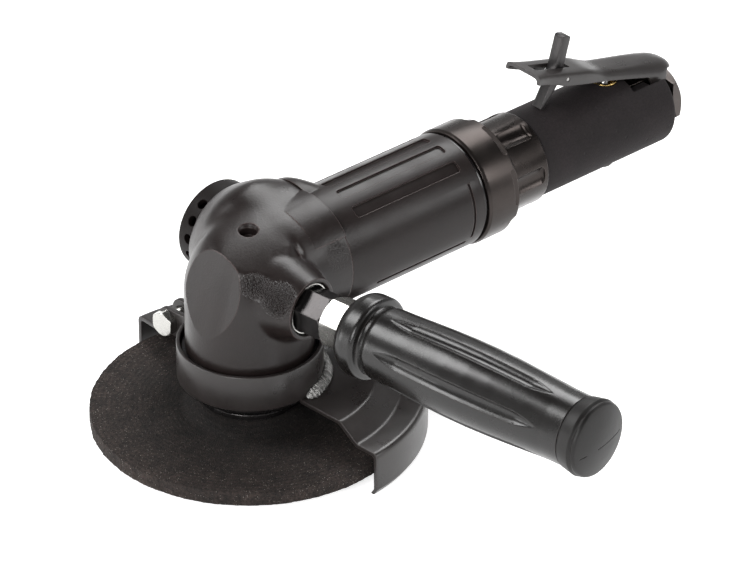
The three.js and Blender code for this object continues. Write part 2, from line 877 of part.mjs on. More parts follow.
// A sunk strip along the motor housing, at an angle from its top.
function strip(size, angle) {
  const halfWidth = size.width / 2;
  return turnedAboutMotor(
    prism(
      roundedCorners(size.start, size.end, -halfWidth, halfWidth, size.round),
      motor.housingRadius - size.depth,
      motor.housingRadius + overrun,
    ),
    angle,
  );
}

// The lobe on the motor housing, from the head to where it sinks into the tube.
function housingLobe() {
  const start = strap.end + seat;
  const places = [start, lobe.full, ...[1, 2, 3, 4].map((i) => blend(lobe.full, lobe.end, i / 4))];
  const rows = places.length - 1;
  const centreAt = (share) => {
    const x = places[Math.round(share * rows)];
    const faded = eased((x - lobe.full) / (lobe.end - lobe.full));
    return [x, blend(lobe.y, lobe.endY, faded), motorHeight + blend(lobe.rise, lobe.endRise, faded), faded];
  };
  const shapeAt = (share, angle) => {
    const [x, y, z, faded] = centreAt(share);
    const radius = blend(lobe.radius, lobe.endRadius, faded);
    return [x, y + radius * Math.cos(angle), z + radius * Math.sin(angle)];
  };
  return skin(sides.large, rows, shapeAt, centreAt);
}

function motorHousing() {
  const tube = onMotorAxis(
    turned(
      [
        [motor.spigotBore, motor.spigotStart],
        [motor.spigotRadius, motor.spigotStart],
        [motor.spigotRadius, strap.end + seat],
        [motor.housingRadius, strap.end + seat],
        [motor.housingRadius, motor.housingEnd],
        [motor.threadRadius, motor.housingEnd],
        [motor.threadRadius, motor.threadEnd],
        [motor.bore, motor.threadEnd],
        [motor.bore, motor.webStart],
        [motor.spigotBore, motor.webStart],
      ],
      sides.large,
    ),
  );
  const bore = onMotorAxis(rod(motor.bore, strap.end - overrun, lobe.end + overrun, sides.large));
  const strips = [1, -1].flatMap((side) => [
    ...slotAngles.map((angle) => strip(slot, side * angle)),
    strip(lowerSlot, side * lowerSlot.angle),
  ]);
  const floor = motor.housingRadius - panelGroove.depth;
  const grooves = [1, -1].map((side) => {
    const middle = half + (side * (panelGroove.from + panelGroove.to)) / 2;
    const reach = (panelGroove.to - panelGroove.from) / 2;
    return onMotorAxis(
      common(
        ring(motor.housingRadius + overrun, floor, panelGroove.start, panelGroove.end, sides.large),
        wedge(motor.housingRadius, middle - reach, middle + reach, 0, panelGroove.end + overrun),
      ),
    );
  });
  return cut(join(tube, cut(housingLobe(), bore)), ...strips, ...grooves);
}

function jointSeal() {
  const start = motor.housingEnd + seat;
  return onMotorAxis(ring(jointRing.radius, motor.threadRadius + seat, start, start + jointRing.length, sides.large));
}

function frontPlate() {
  const floor = plateEnd - plate.wall;
  return onMotorAxis(
    turned(
      [
        [frontBearing.radius + seat, plate.start],
        [plate.radius, plate.start],
        [plate.radius, plateEnd],
        [plate.shaftHoleRadius, plateEnd],
        [plate.shaftHoleRadius, floor],
        [frontBearing.radius + seat, floor],
      ],
      sides.inner,
    ),
  );
}

function rearPlate() {
  const floor = rearPlateStart + plate.wall;
  return onMotorAxis(
    turned(
      [
        [plate.shaftHoleRadius, rearPlateStart],
        [plate.radius, rearPlateStart],
        [plate.radius, rearPlateEnd],
        [rearBearing.radius + seat, rearPlateEnd],
        [rearBearing.radius + seat, floor],
        [plate.shaftHoleRadius, floor],
      ],
      sides.inner,
    ),
  );
}

function frontBearingRing() {
  return onMotorAxis(bearing(frontBearing, frontBearing.boreRadius, plate.start, sides.inner));
}

function rearBearingRing() {
  const start = rearPlateStart + plate.wall + seat;
  return onMotorAxis(bearing(rearBearing, rearBearing.boreRadius, start, sides.inner));
}

function cylinderLiner() {
  const outside = rod(plate.radius, cylinderStart, cylinderEnd, sides.inner);
  const bore = rod(around(cylinder.boreRadius, sides.inner), cylinderStart - overrun, cylinderEnd + overrun, sides.inner);
  const ports = Array.from({ length: cylinder.portRow }, (_, i) =>
    rod(cylinder.portRadius, 0, plate.radius + overrun, sides.tiny)
      .rotateX(-quarter)
      .translate(0, 0, (cylinderStart + cylinderEnd) / 2 + (i - (cylinder.portRow - 1) / 2) * cylinder.portPitch),
  );
  return onMotorAxis(cut(outside, bore.translate(-cylinder.offset, 0, 0), ...ports));
}

function vaneAngle(i) {
  return half / vane.count + (full * i) / vane.count;
}

function rotorShaft() {
  const start = cylinderStart + rotor.endGap;
  const end = cylinderEnd - rotor.endGap;
  const shaft = turned(
    [
      [0, bevel.gearPitchRadius * bevel.innerShare],
      [rotor.pinionSeatRadius, bevel.gearPitchRadius * bevel.innerShare],
      [rotor.pinionSeatRadius, plate.start + seat],
      [frontBearing.boreRadius, plate.start + seat],
      [frontBearing.boreRadius, start],
      [rotor.radius, start],
      [rotor.radius, end],
      [rearBearing.boreRadius, end],
      [rearBearing.boreRadius, rearPlateEnd],
      [0, rearPlateEnd],
    ],
    sides.inner,
  );
  const slots = Array.from({ length: vane.count }, (_, i) =>
    block(
      [rotor.radius - vane.depth - vane.retraction - seat, rotor.radius + overrun],
      [-vane.thickness / 2 - seat, vane.thickness / 2 + seat],
      [start - overrun, end + overrun],
    ).rotateZ(vaneAngle(i)),
  );
  return onMotorAxis(cut(shaft, ...slots));
}

function rotorVane(i) {
  const outer = rotor.radius - vane.retraction;
  return onMotorAxis(
    block(
      [outer - vane.depth, outer],
      [-vane.thickness / 2, vane.thickness / 2],
      [cylinderStart + rotor.endGap, cylinderEnd - rotor.endGap],
    ).rotateZ(vaneAngle(i)),
  );
}

// Clamp ring, throttle body and grip

function clampRingNut() {
  const start = motor.housingEnd + 2 * seat + jointRing.length;
  const lipBore = body.noseRadius + seat;
  const nutBody = turned(
    [
      [motor.threadRadius + seat, start],
      [clampRing.radius - clampRing.edge / 2, start],
      [clampRing.radius, start + clampRing.edge],
      [clampRing.radius, clampRing.end - clampRing.edge],
      [clampRing.radius - clampRing.edge, clampRing.end],
      [lipBore, clampRing.end],
      [lipBore, clampRing.lipStart],
      [motor.threadRadius + seat, clampRing.lipStart],
    ],
    sides.large,
  );
  const notch = roundedCorners(
    clampRing.notchStart,
    clampRing.end + 2 * overrun,
    -clampRing.notchHalfWidth,
    clampRing.notchHalfWidth,
    clampRing.notchRound,
  );
  const notches = Array.from({ length: clampRing.notches }, (_, i) =>
    turnedAboutMotor(
      prism(notch, clampRing.notchFloor, clampRing.radius + overrun),
      clampRing.firstNotch + (full * i) / clampRing.notches,
    ),
  );
  return cut(onMotorAxis(nutBody), ...notches);
}

// The cut-away at the rear of the grip where the lever's two ears and its pin stand, outside or
// inside the given half width.
function saddleCuts(innerHalfWidth, outerHalfWidth) {
  const floor = motorHeight + sleeve.saddleFloor;
  return [1, -1].map((side) =>
    block(
      [sleeve.saddleStart, body.end + overrun],
      side > 0 ? [innerHalfWidth, outerHalfWidth] : [-outerHalfWidth, -innerHalfWidth],
      [floor, floor + motor.housingRadius],
    ),
  );
}

function throttleBody() {
  const outside = turned(
    [
      [0, body.start],
      [body.flangeRadius, body.start],
      [body.flangeRadius, body.flangeEnd],
      [body.noseRadius, body.flangeEnd],
      [body.noseRadius, body.noseEnd],
      [body.coreRadius, body.noseEnd],
      [body.coreRadius, body.end],
      [0, body.end],
    ],
    sides.large,
  );
  const flutes = Array.from({ length: body.flutes }, (_, i) =>
    rod(body.fluteRadius, body.fluteStart, body.fluteEnd, sides.small)
      .translate(body.noseRadius + body.fluteRadius - body.fluteDepth, 0, 0)
      .rotateZ(half + body.firstFlute + (full * i) / body.flutes),
  );
  const lugBlock = block(
    [sleeve.saddleStart + free, body.end],
    [-lug.halfWidth, lug.halfWidth],
    [motorHeight, pivotHeight + lug.rise],
  );
  const core = join(onMotorAxis(cut(outside, ...flutes)), lugBlock);
  const chest = onMotorAxis(rod(body.chestRadius, body.start - overrun, body.chestEnd, sides.medium));
  const frontAirway = onMotorAxis(rod(valve.airwayRadius, body.chestEnd - overrun, valve.x, sides.small));
  const rearAirway = onMotorAxis(rod(valve.airwayRadius, valve.x, body.end + overrun, sides.small));
  const inletBore = onMotorAxis(
    rod(inlet.spigotRadius + seat, body.end - inlet.spigotLength - screen.thickness - 2 * seat, body.end + overrun, sides.small),
  );
  const chamber = onValveAxis(rod(valve.chamberRadius, -body.coreRadius - overrun, valve.seatHeight, sides.small));
  const bushingBore = onValveAxis(
    rod(valve.bushingRadius + seat, valve.seatHeight - overrun, body.coreRadius + overrun, sides.small),
  );
  const pinBore = rod(leverPin.radius + seat, -lug.halfWidth - overrun, lug.halfWidth + overrun, sides.tiny)
    .rotateX(quarter)
    .translate(lever.pivotX, 0, pivotHeight);
  return cut(
    core,
    chest,
    frontAirway.translate(0, 0, valve.airwayShift),
    rearAirway.translate(0, 0, -valve.airwayShift),
    inletBore,
    chamber,
    bushingBore,
    pinBore,
    ...saddleCuts(lug.halfWidth, motor.housingRadius),
  );
}

function gripSleeve() {
  const bore = body.coreRadius + seat;
  const tube = onMotorAxis(
    turned(
      [
        [bore, sleeve.start],
        [sleeve.radius - sleeve.frontRound, sleeve.start],
        [sleeve.radius, sleeve.start + sleeve.frontRound],
        ...arc(sleeve.radius - sleeve.rearRound, sleeve.end - sleeve.rearRound, sleeve.rearRound, 0, quarter, 4).filter(
          ([radius]) => radius > bore,
        ),
        [bore, sleeve.end],
      ],
      sides.large,
    ),
  );
  const bushingHole = onValveAxis(rod(valve.bushingRadius + valve.bushingRoom, 0, sleeve.radius + overrun, sides.small));
  const plugHole = onValveAxis(rod(valve.plugNeckRadius + free, -sleeve.radius - overrun, 0, sides.small));
  const floor = motorHeight + sleeve.saddleFloor;
  const saddle = block(
    [sleeve.saddleStart, sleeve.end + overrun],
    [-sleeve.saddleHalfWidth, sleeve.saddleHalfWidth],
    [floor, floor + sleeve.radius],
  );
  return cut(tube, bushingHole, plugHole, saddle);
}

function inletBushing() {
  const neckStart = body.end + seat;
  const hexagon = hexBar(inlet.acrossFlats, inlet.hexStart, inlet.hexEnd, inlet.edge).rotateZ(inlet.turn);
  const neck = rod(inlet.neckRadius, neckStart, inlet.hexStart + seat, sides.small);
  const spigot = rod(inlet.spigotRadius, body.end - inlet.spigotLength, neckStart + seat, sides.small);
  const bore = rod(inlet.boreRadius, body.end - inlet.spigotLength - overrun, inlet.hexEnd + overrun, sides.small);
  return onMotorAxis(cut(join(hexagon, neck, spigot), bore));
}

function inletScreen() {
  const end = body.end - inlet.spigotLength - seat;
  const disc = rod(inlet.spigotRadius, end - screen.thickness, end, sides.inner);
  const pitch = inlet.boreRadius / 2;
  const holes = [-1, 0, 1].flatMap((column) =>
    [-1, 0, 1].map((row) =>
      rod(pitch * screen.mouth, end - screen.thickness - overrun, end + overrun, sides.tiny).translate(
        column * pitch,
        row * pitch,
        0,
      ),
    ),
  );
  return onMotorAxis(cut(disc, ...holes));
}

// Throttle valve

function valveBushing() {
  const bottom = valve.seatHeight;
  const guide = around(valve.stemRadius + running, sides.small);
  const sleeveTube = turned(
    [
      [valve.throatRadius, bottom],
      [valve.bushingRadius, bottom],
      [valve.bushingRadius, valve.bushingTop],
      [guide, valve.bushingTop],
      [guide, valve.throatTop],
      [valve.throatRadius, valve.throatTop],
    ],
    sides.small,
  );
  const port = rod(valve.portRadius, 0, valve.bushingRadius + overrun, sides.tiny)
    .rotateY(-quarter)
    .translate(0, 0, valve.portHeight);
  return onValveAxis(cut(sleeveTube, port));
}

const valveHeadTop = valve.seatHeight - seat;
const valveHeadBottom = valveHeadTop - valve.headHeight;

// The height, above the motor's axis, of the lever's underside over the valve.
function stemTop() {
  const along = (lever.pivotX - valve.x) / Math.cos(lever.tilt);
  const rise = along * Math.sin(lever.tilt) + (lever.crown - lever.sheet - lever.waistDip) / Math.cos(lever.tilt);
  return pivotHeight + rise - motorHeight - valve.stemRadius * Math.tan(lever.tilt) - free;
}

function valveStem() {
  const { stemRadius, headRadius, tailRadius, tailLength } = valve;
  const top = stemTop();
  const dome = stemRadius / 2;
  return onValveAxis(
    turned(
      [
        [0, valveHeadBottom - tailLength],
        [tailRadius, valveHeadBottom - tailLength],
        [tailRadius, valveHeadBottom],
        [headRadius, valveHeadBottom],
        [headRadius, valveHeadTop],
        [stemRadius, valveHeadTop],
        [stemRadius, top - dome],
        [dome, top],
        [0, top],
      ],
      sides.small,
    ),
  );
}

function valvePlug() {
  const { plugTop, plugBottom, plugNeckRadius, plugHeadRadius, plugHeadStart } = valve;
  const outside = turned(
    [
      [0, plugBottom],
      [plugHeadRadius - seat, plugBottom],
      [plugHeadRadius, plugBottom + seat],
      [plugHeadRadius, plugHeadStart],
      [plugNeckRadius, plugHeadStart],
      [plugNeckRadius, plugTop],
      [0, plugTop],
    ],
    sides.small,
  );
  const socket = rod(valve.plugSocketRadius, plugBottom - overrun, plugBottom + valve.plugSocketDepth, 6);
  return onValveAxis(cut(outside, socket));
}

function valveSpringCoil() {
  const { coils, radius, wire, gap } = valveSpring;
  return onValveAxis(coil(radius, wire, valve.plugTop + gap, valveHeadBottom - gap, coils));
}

// Throttle lever

// Half width, crown height and squareness of the lever at a distance from its pin.
function leverSection(x) {
  const waist = lever.reach * lever.waistShare;
  const front = lever.reach * lever.frontShare;
  const toWaist = eased(x / waist);
  const toFront = eased((x - waist) / (front - waist));
  const toFlare = Math.min(1, Math.max(0, (x - lever.reach + lever.noseInset) / lever.noseInset));
  const along = (rear, middle, nose) => blend(blend(rear, middle, toWaist), nose, toFront);
  const halfWidth = along(lever.rearHalfWidth, lever.waistHalfWidth, lever.frontHalfWidth);
  return {
    halfWidth: blend(halfWidth, lever.flareHalfWidth, toFlare ** 2),
    crown: along(lever.crown, lever.crown - lever.waistDip, lever.crown),
    squareness: along(lever.rearSquareness, lever.waistSquareness, lever.frontSquareness),
  };
}

function leverSolid(inset) {
  const [from, to] = [-lever.tail + inset, lever.reach + (inset > 0 ? overrun : 0)];
  const shapeAt = (share, angle) => {
    const x = blend(from, to, share);
    const { halfWidth, crown, squareness } = leverSection(x);
    const rear = Math.max(0, 1 - (x + lever.tail) / lever.tail);
    const round = Math.sqrt(Math.max(0, 1 - rear * rear));
    const width = (halfWidth - inset) * blend(lever.tailShare, 1, round);
    const [c, s] = [Math.cos(angle), Math.sin(angle)];
    if (s < 0) return [x, width * Math.sign(c) * Math.min(1, Math.abs(c / s)), -lever.depth];
    const middle = crown - lever.depth / 2;
    const rise = crown - inset - (1 - round) * lever.tailFall - middle;
    const power = 2 / squareness;
    return [x, width * Math.sign(c) * Math.abs(c) ** power, middle + rise * Math.abs(s) ** power];
  };
  return skin(sides.lever, sides.leverRows, shapeAt, (share) => [blend(from, to, share), 0, 0]);
}

function leverOutline() {
  const { reach, tail, crown, rearSkirt, skirt, noseSkirt, noseInset, earRadius, earRise, earFront } = lever;
  const ceiling = crown + overrun;
  const nose = reach - noseInset;
  return [
    [reach + overrun, ceiling],
    [-tail - overrun, ceiling],
    [-tail - overrun, rearSkirt],
    [-earRadius - earRise, rearSkirt],
    [-earRadius, rearSkirt - earRise],
    ...arc(0, 0, earRadius, half, full, 8),
    [earFront, skirt],
    [nose - noseSkirt, skirt],
    [nose, noseSkirt - earRise],
    [reach + overrun, noseSkirt],
  ];
}

function throttleLever() {
  const side = new THREE.Shape(leverOutline().map(([x, z]) => new THREE.Vector2(x, z)));
  const width = 2 * lever.flareHalfWidth + overrun;
  const trim = new THREE.ExtrudeGeometry(side, { depth: width, bevelEnabled: false })
    .translate(0, 0, -width / 2)
    .rotateX(quarter);
  const shell = cut(common(leverSolid(0), trim), leverSolid(lever.sheet));
  const pinHole = (radius, x, z) =>
    rod(radius, -lever.flareHalfWidth - overrun, lever.flareHalfWidth + overrun, sides.tiny)
      .rotateX(quarter)
      .translate(x, 0, z);
  const halfSlot = leverSlot.width / 2;
  const opening = prism(
    roundedCorners(latchX - leverSlot.behindPin, lever.reach - leverSlot.frontInset, -halfSlot, halfSlot, leverSlot.round),
    lever.crown - 2 * lever.sheet,
    lever.crown + overrun,
  );
  return inLeverFrame(
    cut(shell, pinHole(leverPin.radius + seat, 0, 0), pinHole(latchPin.radius + seat, latchX, latch.pinZ), opening),
  );
}

function leverPinRod() {
  const reach = lever.rearHalfWidth + leverPin.overhang;
  return rod(leverPin.radius, -reach, reach, sides.tiny).rotateX(quarter).translate(lever.pivotX, 0, pivotHeight);
}

function leverPinClip() {
  const start = lever.rearHalfWidth + pinClip.gap;
  const clip = ring(pinClip.radius, leverPin.radius + seat, start, start + pinClip.thickness, sides.tiny);
  return clip.rotateX(quarter).translate(lever.pivotX, 0, pivotHeight);
}

// Lock-off latch

// The bar's foot is as long as the space from its pin down to the grip, less a small gap.
function latchBar() {
  const { pinZ, thickness, halfWidth, tabTop, tabLean, tabRound, footLean, footGap, footWidth, hipDrop } = latch;
  const pinHeight = pivotHeight + latchX * Math.sin(lever.tilt) + pinZ * Math.cos(lever.tilt);
  const drop = pinHeight - motorHeight - sleeve.radius - footGap - footWidth * Math.sin(lever.tilt);
  const length = drop / Math.cos(footLean + lever.tilt);
  const [footX, footZ] = [length * Math.sin(footLean), -length * Math.cos(footLean)];
  const outline = [
    [halfWidth - tabLean, tabTop - tabRound],
    [halfWidth - tabLean - tabRound, tabTop],
    [-halfWidth - tabLean + tabRound, tabTop],
    [-halfWidth - tabLean, tabTop - tabRound],
    [-halfWidth, 0],
    [-halfWidth, -hipDrop],
    [footX - footWidth, footZ],
    [footX, footZ],
    [halfWidth, -hipDrop],
    [halfWidth, 0],
  ];
  const side = new THREE.Shape(outline.map(([x, z]) => new THREE.Vector2(x, z)));
  const bar = new THREE.ExtrudeGeometry(side, { depth: thickness, bevelEnabled: false })
    .translate(0, 0, -thickness / 2)
    .rotateX(quarter);
  const bore = rod(around(latchPin.radius + running, sides.tiny), -thickness, thickness, sides.tiny).rotateX(quarter);
  return inLeverFrame(cut(bar, bore).translate(latchX, 0, pinZ));
}

function latchPinRod() {
  const reach = lever.frontHalfWidth - seat;
  return inLeverFrame(rod(latchPin.radius, -reach, reach, sides.tiny).rotateX(quarter).translate(latchX, 0, latch.pinZ));
}

function latchSpringCoil() {
  const start = latch.thickness / 2 + seat;
  const { radius, wire, coils, length } = latchSpring;
  return inLeverFrame(coil(radius, wire, start, start + length, coils).rotateX(quarter).translate(latchX, 0, latch.pinZ));
}

// Side handle

function handleStud() {
  return onHandleAxis(rod(handle.studRadius, handle.studStart, handle.studEnd, sides.small));
}

const washerStart = boss.face - boss.counterboreDepth + seat;
const studNutStart = washerStart + handle.washerThickness + seat;

function handleWasher() {
  const end = washerStart + handle.washerThickness;
  return onHandleAxis(ring(handle.washerRadius, handle.studRadius + seat, washerStart, end, sides.medium));
}

function boredHex(acrossFlats, from, to, edge) {
  const bore = rod(handle.studRadius + seat, from - overrun, to + overrun, sides.small);
  return onHandleAxis(cut(hexBar(acrossFlats, from, to, edge), bore));
}

const handleNut = () => boredHex(handle.nutAcrossFlats, studNutStart, handle.nutEnd, handle.nutEdge);

const handleCoupler = () =>
  boredHex(handle.couplerAcrossFlats, handle.nutEnd + seat, handle.couplerEnd, handle.couplerEdge);

// How far a flute sinks the handle's skin at a place on it.
function fluteSink(along, angle) {
  const pitch = full / grip.flutes;
  const nearest = Math.abs(((((angle - grip.firstFlute) % pitch) + pitch * 3 / 2) % pitch) - pitch / 2);
  const across = Math.max(0, 1 - nearest / grip.fluteHalfAngle);
  const fromEnd = Math.min(along - grip.fluteStart, grip.fluteEnd - along);
  const lengthwise = Math.min(1, Math.max(0, fromEnd / grip.fluteRun));
  return grip.fluteDepth * Math.min(1, across / grip.fluteFlat) * lengthwise;
}

function handleGrip() {
  const rows = gripOutline.length - 1;
  const shapeAt = (share, angle) => {
    const [radius, along] = gripOutline[Math.round(share * rows)];
    const r = radius - fluteSink(along, angle);
    return [r * Math.cos(angle), r * Math.sin(angle), along];
  };
  const outside = skin(sides.grip, rows, shapeAt, (share) => [0, 0, gripOutline[Math.round(share * rows)][1]]);
  const bore = rod(handle.studRadius + seat, 0, grip.boreEnd, sides.small);
  const pocket = rod(grip.pocketRadius, 0, handle.couplerEnd + seat, sides.small);
  const capBore = rod(grip.capBoreRadius, grip.end - grip.capBoreDepth, grip.end + overrun, sides.medium);
  return onHandleAxis(cut(outside, bore, pocket, capBore));
}

function handleEndCap() {
  const { spigotRadius, spigotLength } = endCap;
  const start = endCapOutline[0][1];
  const spigot = [[0, start - spigotLength], [spigotRadius, start - spigotLength], [spigotRadius, start]];
  return onHandleAxis(turned([...spigot, ...endCapOutline], sides.medium));
}

// Wheel guard, made with its closed side towards +X

const guardWedge = (from, to) => wedge(guardRadius, from, to, guard.skirtBottom - overrun, collarTop + overrun);

function guardCollar() {
  const bore = collarRadius - guard.collarThickness;
  const band = ring(collarRadius, bore, collarBottom, collarTop, sides.large);
  const top = collarTop - ear.topDrop;
  const ears = [1, -1].map((side) => {
    const near = side * ear.splitHalfWidth;
    const far = side * (ear.splitHalfWidth + ear.thickness);
    return prism(
      [
        [bore, top - ear.height],
        [earReach - ear.corner, top - ear.height],
        [earReach, top - ear.height + ear.corner],
        [earReach, top - ear.corner],
        [earReach - ear.corner, top],
        [bore, top],
      ],
      Math.min(near, far),
      Math.max(near, far),
    )
      .rotateX(quarter)
      .rotateZ(ear.angle);
  });
  const split = block(
    [0, earReach + overrun],
    [-ear.splitHalfWidth, ear.splitHalfWidth],
    [collarBottom - overrun, collarTop + overrun],
  ).rotateZ(ear.angle);
  const inside = rod(bore, collarBottom - overrun, collarTop + overrun, sides.large);
  return cut(join(band, ...ears), split, clampHole(), inside);
}

const boltHeight = collarTop - ear.topDrop - ear.boltDrop;

// Shapes made about the Z axis go to the clamp screw's axis, from the far ear to the near one.
const onBoltAxis = (geometry) => geometry.rotateX(quarter).translate(boltRadius, 0, boltHeight).rotateZ(ear.angle);

function clampHole() {
  const reach = ear.splitHalfWidth + ear.thickness + overrun;
  return onBoltAxis(rod(bolt.radius + seat, -reach, reach, sides.tiny));
}

function clampBolt() {
  const face = ear.splitHalfWidth + ear.thickness + seat;
  const head = hexBar(bolt.acrossFlats, face, face + bolt.headHeight, bolt.edge);
  const shank = rod(bolt.radius, -face - bolt.nutHeight - bolt.tail, face + seat, sides.tiny);
  return onBoltAxis(join(head, shank).rotateX(half));
}

function clampNut() {
  const face = ear.splitHalfWidth + ear.thickness + seat;
  const bore = rod(bolt.radius + seat, face - overrun, face + bolt.nutHeight + overrun, sides.tiny);
  return onBoltAxis(cut(hexBar(bolt.acrossFlats, face, face + bolt.nutHeight, bolt.edge), bore));
}

function guardShroud() {
  const { sheet, plateInset, stepDrop, corner, skirtBottom, lipHeight, lipInset } = guard;
  const radius = guardRadius;
  const plateInnerRadius = collarRadius - plateInset;
  const stepInnerRadius = radius - guard.stepInnerInset;
  const stepOuterRadius = radius - guard.stepOuterInset;
  const low = plateTop - stepDrop;
  const outside = [
    ...arc(radius - corner, low - corner, corner, 0, quarter, 4),
    [stepOuterRadius, low],
    [stepInnerRadius, plateTop],
    [plateInnerRadius, plateTop],
  ];
  const inside = [
    [plateInnerRadius, plateTop - sheet],
    [stepInnerRadius - sheet / 2, plateTop - sheet],
    [stepOuterRadius - sheet / 2, low - sheet],
    [radius - corner, low - sheet],
    [radius - sheet, low - corner],
    [radius - sheet, skirtBottom + lipHeight],
    [radius - sheet - lipInset, skirtBottom],
  ];
  const profile = [[radius - lipInset, skirtBottom], [radius, skirtBottom + lipHeight], ...outside, ...inside];
  const dish = turned(profile, sides.large);
  return common(dish, guardWedge(-guard.halfAngle, guard.halfAngle)).rotateZ(guard.turn);
}

function weldBead() {
  const inner = collarRadius + bead.gap;
  const bottom = plateTop + bead.gap;
  const fillet = turned(
    [
      [inner, bottom],
      [inner + bead.width, bottom],
      [inner + bead.width / 2, bottom + bead.height / 3],
      [inner, bottom + bead.height],
    ],
    sides.large,
  );
  return common(fillet, guardWedge(-bead.halfAngle, bead.halfAngle)).rotateZ(guard.turn);
}

const meshes = [];

function add(name, geometry, material) {
  const mesh = new THREE.Mesh(geometry, material);
  mesh.name = name;
  meshes.push(mesh);
}

add("gear_housing", gearHousing(), materials.casting);
add("exhaust_cap", exhaustCapCup(), materials.casting);
add("bearing_cap", bearingCap(), materials.blackSteel);
add("spindle_seal", spindleSeal(), materials.rubber);
add("lower_bearing", lowerBearingRing(), materials.steel);
add("upper_bearing", upperBearingRing(), materials.steel);
add("spindle", spindleShaft(), materials.steel);
add("gear_key", keyBlock(0), materials.steel);
add("bevel_gear", bevelGear(), materials.gearSteel);
add("wheel_flange", innerFlange(), materials.steel);
add("grinding_wheel", grindingWheel(), materials.grit);
add("wheel_lock_nut", lockNut(), materials.blackSteel);
add("motor_housing", motorHousing(), materials.housing);
add("joint_seal", jointSeal(), materials.rubber);
add("front_plate", frontPlate(), materials.steel);
add("front_bearing", frontBearingRing(), materials.steel);
add("cylinder_liner", cylinderLiner(), materials.steel);
add("rear_plate", rearPlate(), materials.steel);
add("rear_bearing", rearBearingRing(), materials.steel);
add("rotor", rotorShaft(), materials.steel);
add("pinion", pinion(), materials.gearSteel);
for (let i = 0; i < vane.count; i += 1) add(`vane_${i + 1}`, rotorVane(i), materials.phenolic);
add("clamp_ring", clampRingNut(), materials.housing);
add("throttle_body", throttleBody(), materials.housing);
add("grip_sleeve", gripSleeve(), materials.rubber);
add("inlet_bushing", inletBushing(), materials.zinc);
add("inlet_screen", inletScreen(), materials.steel);
add("valve_bushing", valveBushing(), materials.zinc);
add("valve_stem", valveStem(), materials.steel);
add("valve_spring", valveSpringCoil(), materials.steel);
add("valve_plug", valvePlug(), materials.blackSteel);
add("throttle_lever", throttleLever(), materials.blackSteel);
add("lever_pin", leverPinRod(), materials.zinc);
add("lever_pin_clip", leverPinClip(), materials.zinc);
add("lock_latch", latchBar(), materials.blackSteel);
add("latch_pin", latchPinRod(), materials.steel);
add("latch_spring", latchSpringCoil(), materials.steel);
add("handle_stud", handleStud(), materials.steel);
add("handle_washer", handleWasher(), materials.zinc);
add("handle_nut", handleNut(), materials.blackSteel);
add("handle_coupler", handleCoupler(), materials.zinc);
add("handle_grip", handleGrip(), materials.plastic);
add("handle_end_cap", handleEndCap(), materials.plastic);
add("guard_collar", guardCollar(), materials.sheet);
add("guard_shroud", guardShroud(), materials.sheet);
add("weld_bead", weldBead(), materials.weld);
add("clamp_bolt", clampBolt(), materials.zinc);
add("clamp_nut", clampNut(), materials.blackSteel);

const root = new THREE.Group();
root.name = "pneumatic_angle_grinder";
meshes.forEach((mesh) => root.add(mesh));
export default root;
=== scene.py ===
"""Pneumatic angle grinder: the finished look of a right-angle air grinder, built round its CAD frame."""

import json
import math

import bpy
import numpy as np
from bpy.props import FloatProperty, FloatVectorProperty, PointerProperty
from mathutils import Matrix, Vector

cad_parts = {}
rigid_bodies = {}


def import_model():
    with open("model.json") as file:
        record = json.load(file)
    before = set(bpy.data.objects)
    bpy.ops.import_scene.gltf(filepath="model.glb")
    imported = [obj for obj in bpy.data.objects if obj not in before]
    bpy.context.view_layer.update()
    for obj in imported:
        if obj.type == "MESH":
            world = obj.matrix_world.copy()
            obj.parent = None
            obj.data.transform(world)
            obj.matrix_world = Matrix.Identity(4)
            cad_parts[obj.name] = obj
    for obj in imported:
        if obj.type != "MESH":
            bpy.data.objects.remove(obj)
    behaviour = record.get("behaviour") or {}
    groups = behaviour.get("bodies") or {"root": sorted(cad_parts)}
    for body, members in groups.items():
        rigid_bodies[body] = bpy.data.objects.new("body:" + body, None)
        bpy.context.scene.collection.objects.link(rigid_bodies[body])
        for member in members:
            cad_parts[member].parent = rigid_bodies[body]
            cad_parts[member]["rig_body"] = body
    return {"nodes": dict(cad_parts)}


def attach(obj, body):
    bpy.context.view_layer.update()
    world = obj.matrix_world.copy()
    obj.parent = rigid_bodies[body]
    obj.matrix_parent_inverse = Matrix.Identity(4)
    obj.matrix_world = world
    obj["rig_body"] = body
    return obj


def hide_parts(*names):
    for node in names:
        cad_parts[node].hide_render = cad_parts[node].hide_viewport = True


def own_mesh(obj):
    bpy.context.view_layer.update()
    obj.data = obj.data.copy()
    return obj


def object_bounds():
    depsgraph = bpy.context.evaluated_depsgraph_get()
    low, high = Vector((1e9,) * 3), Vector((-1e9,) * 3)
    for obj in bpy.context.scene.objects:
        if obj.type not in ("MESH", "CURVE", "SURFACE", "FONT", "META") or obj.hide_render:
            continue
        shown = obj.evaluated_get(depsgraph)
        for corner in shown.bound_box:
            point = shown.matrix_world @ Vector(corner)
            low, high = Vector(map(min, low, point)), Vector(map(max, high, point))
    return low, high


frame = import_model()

bl_info = {
    "name": "Pneumatic Angle Grinder",
    "version": (1, 0, 0),
    "blender": (4, 5, 0),
    "location": "View3D > Sidebar > Grinder",
    "description": "Builds the pieces, finishes and studio of a pneumatic angle grinder",
    "category": "Object",
}

CAD_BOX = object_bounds()
MM = 0.001
RIGHT_ANGLE = math.pi / 2


def colour(code):
    """The linear colour of an sRGB hex code, with full alpha."""
    parts = [int(code[i : i + 2], 16) / 255 for i in (1, 3, 5)]
    return (*(c / 12.92 if c <= 0.04045 else ((c + 0.055) / 1.055) ** 2.4 for c in parts), 1.0)


def paint_property(name, description, code):
    """A colour that a user can change, from its sRGB hex code."""
    return FloatVectorProperty(
        name=name, description=description, subtype="COLOR", size=4, min=0, max=1, default=colour(code)
    )


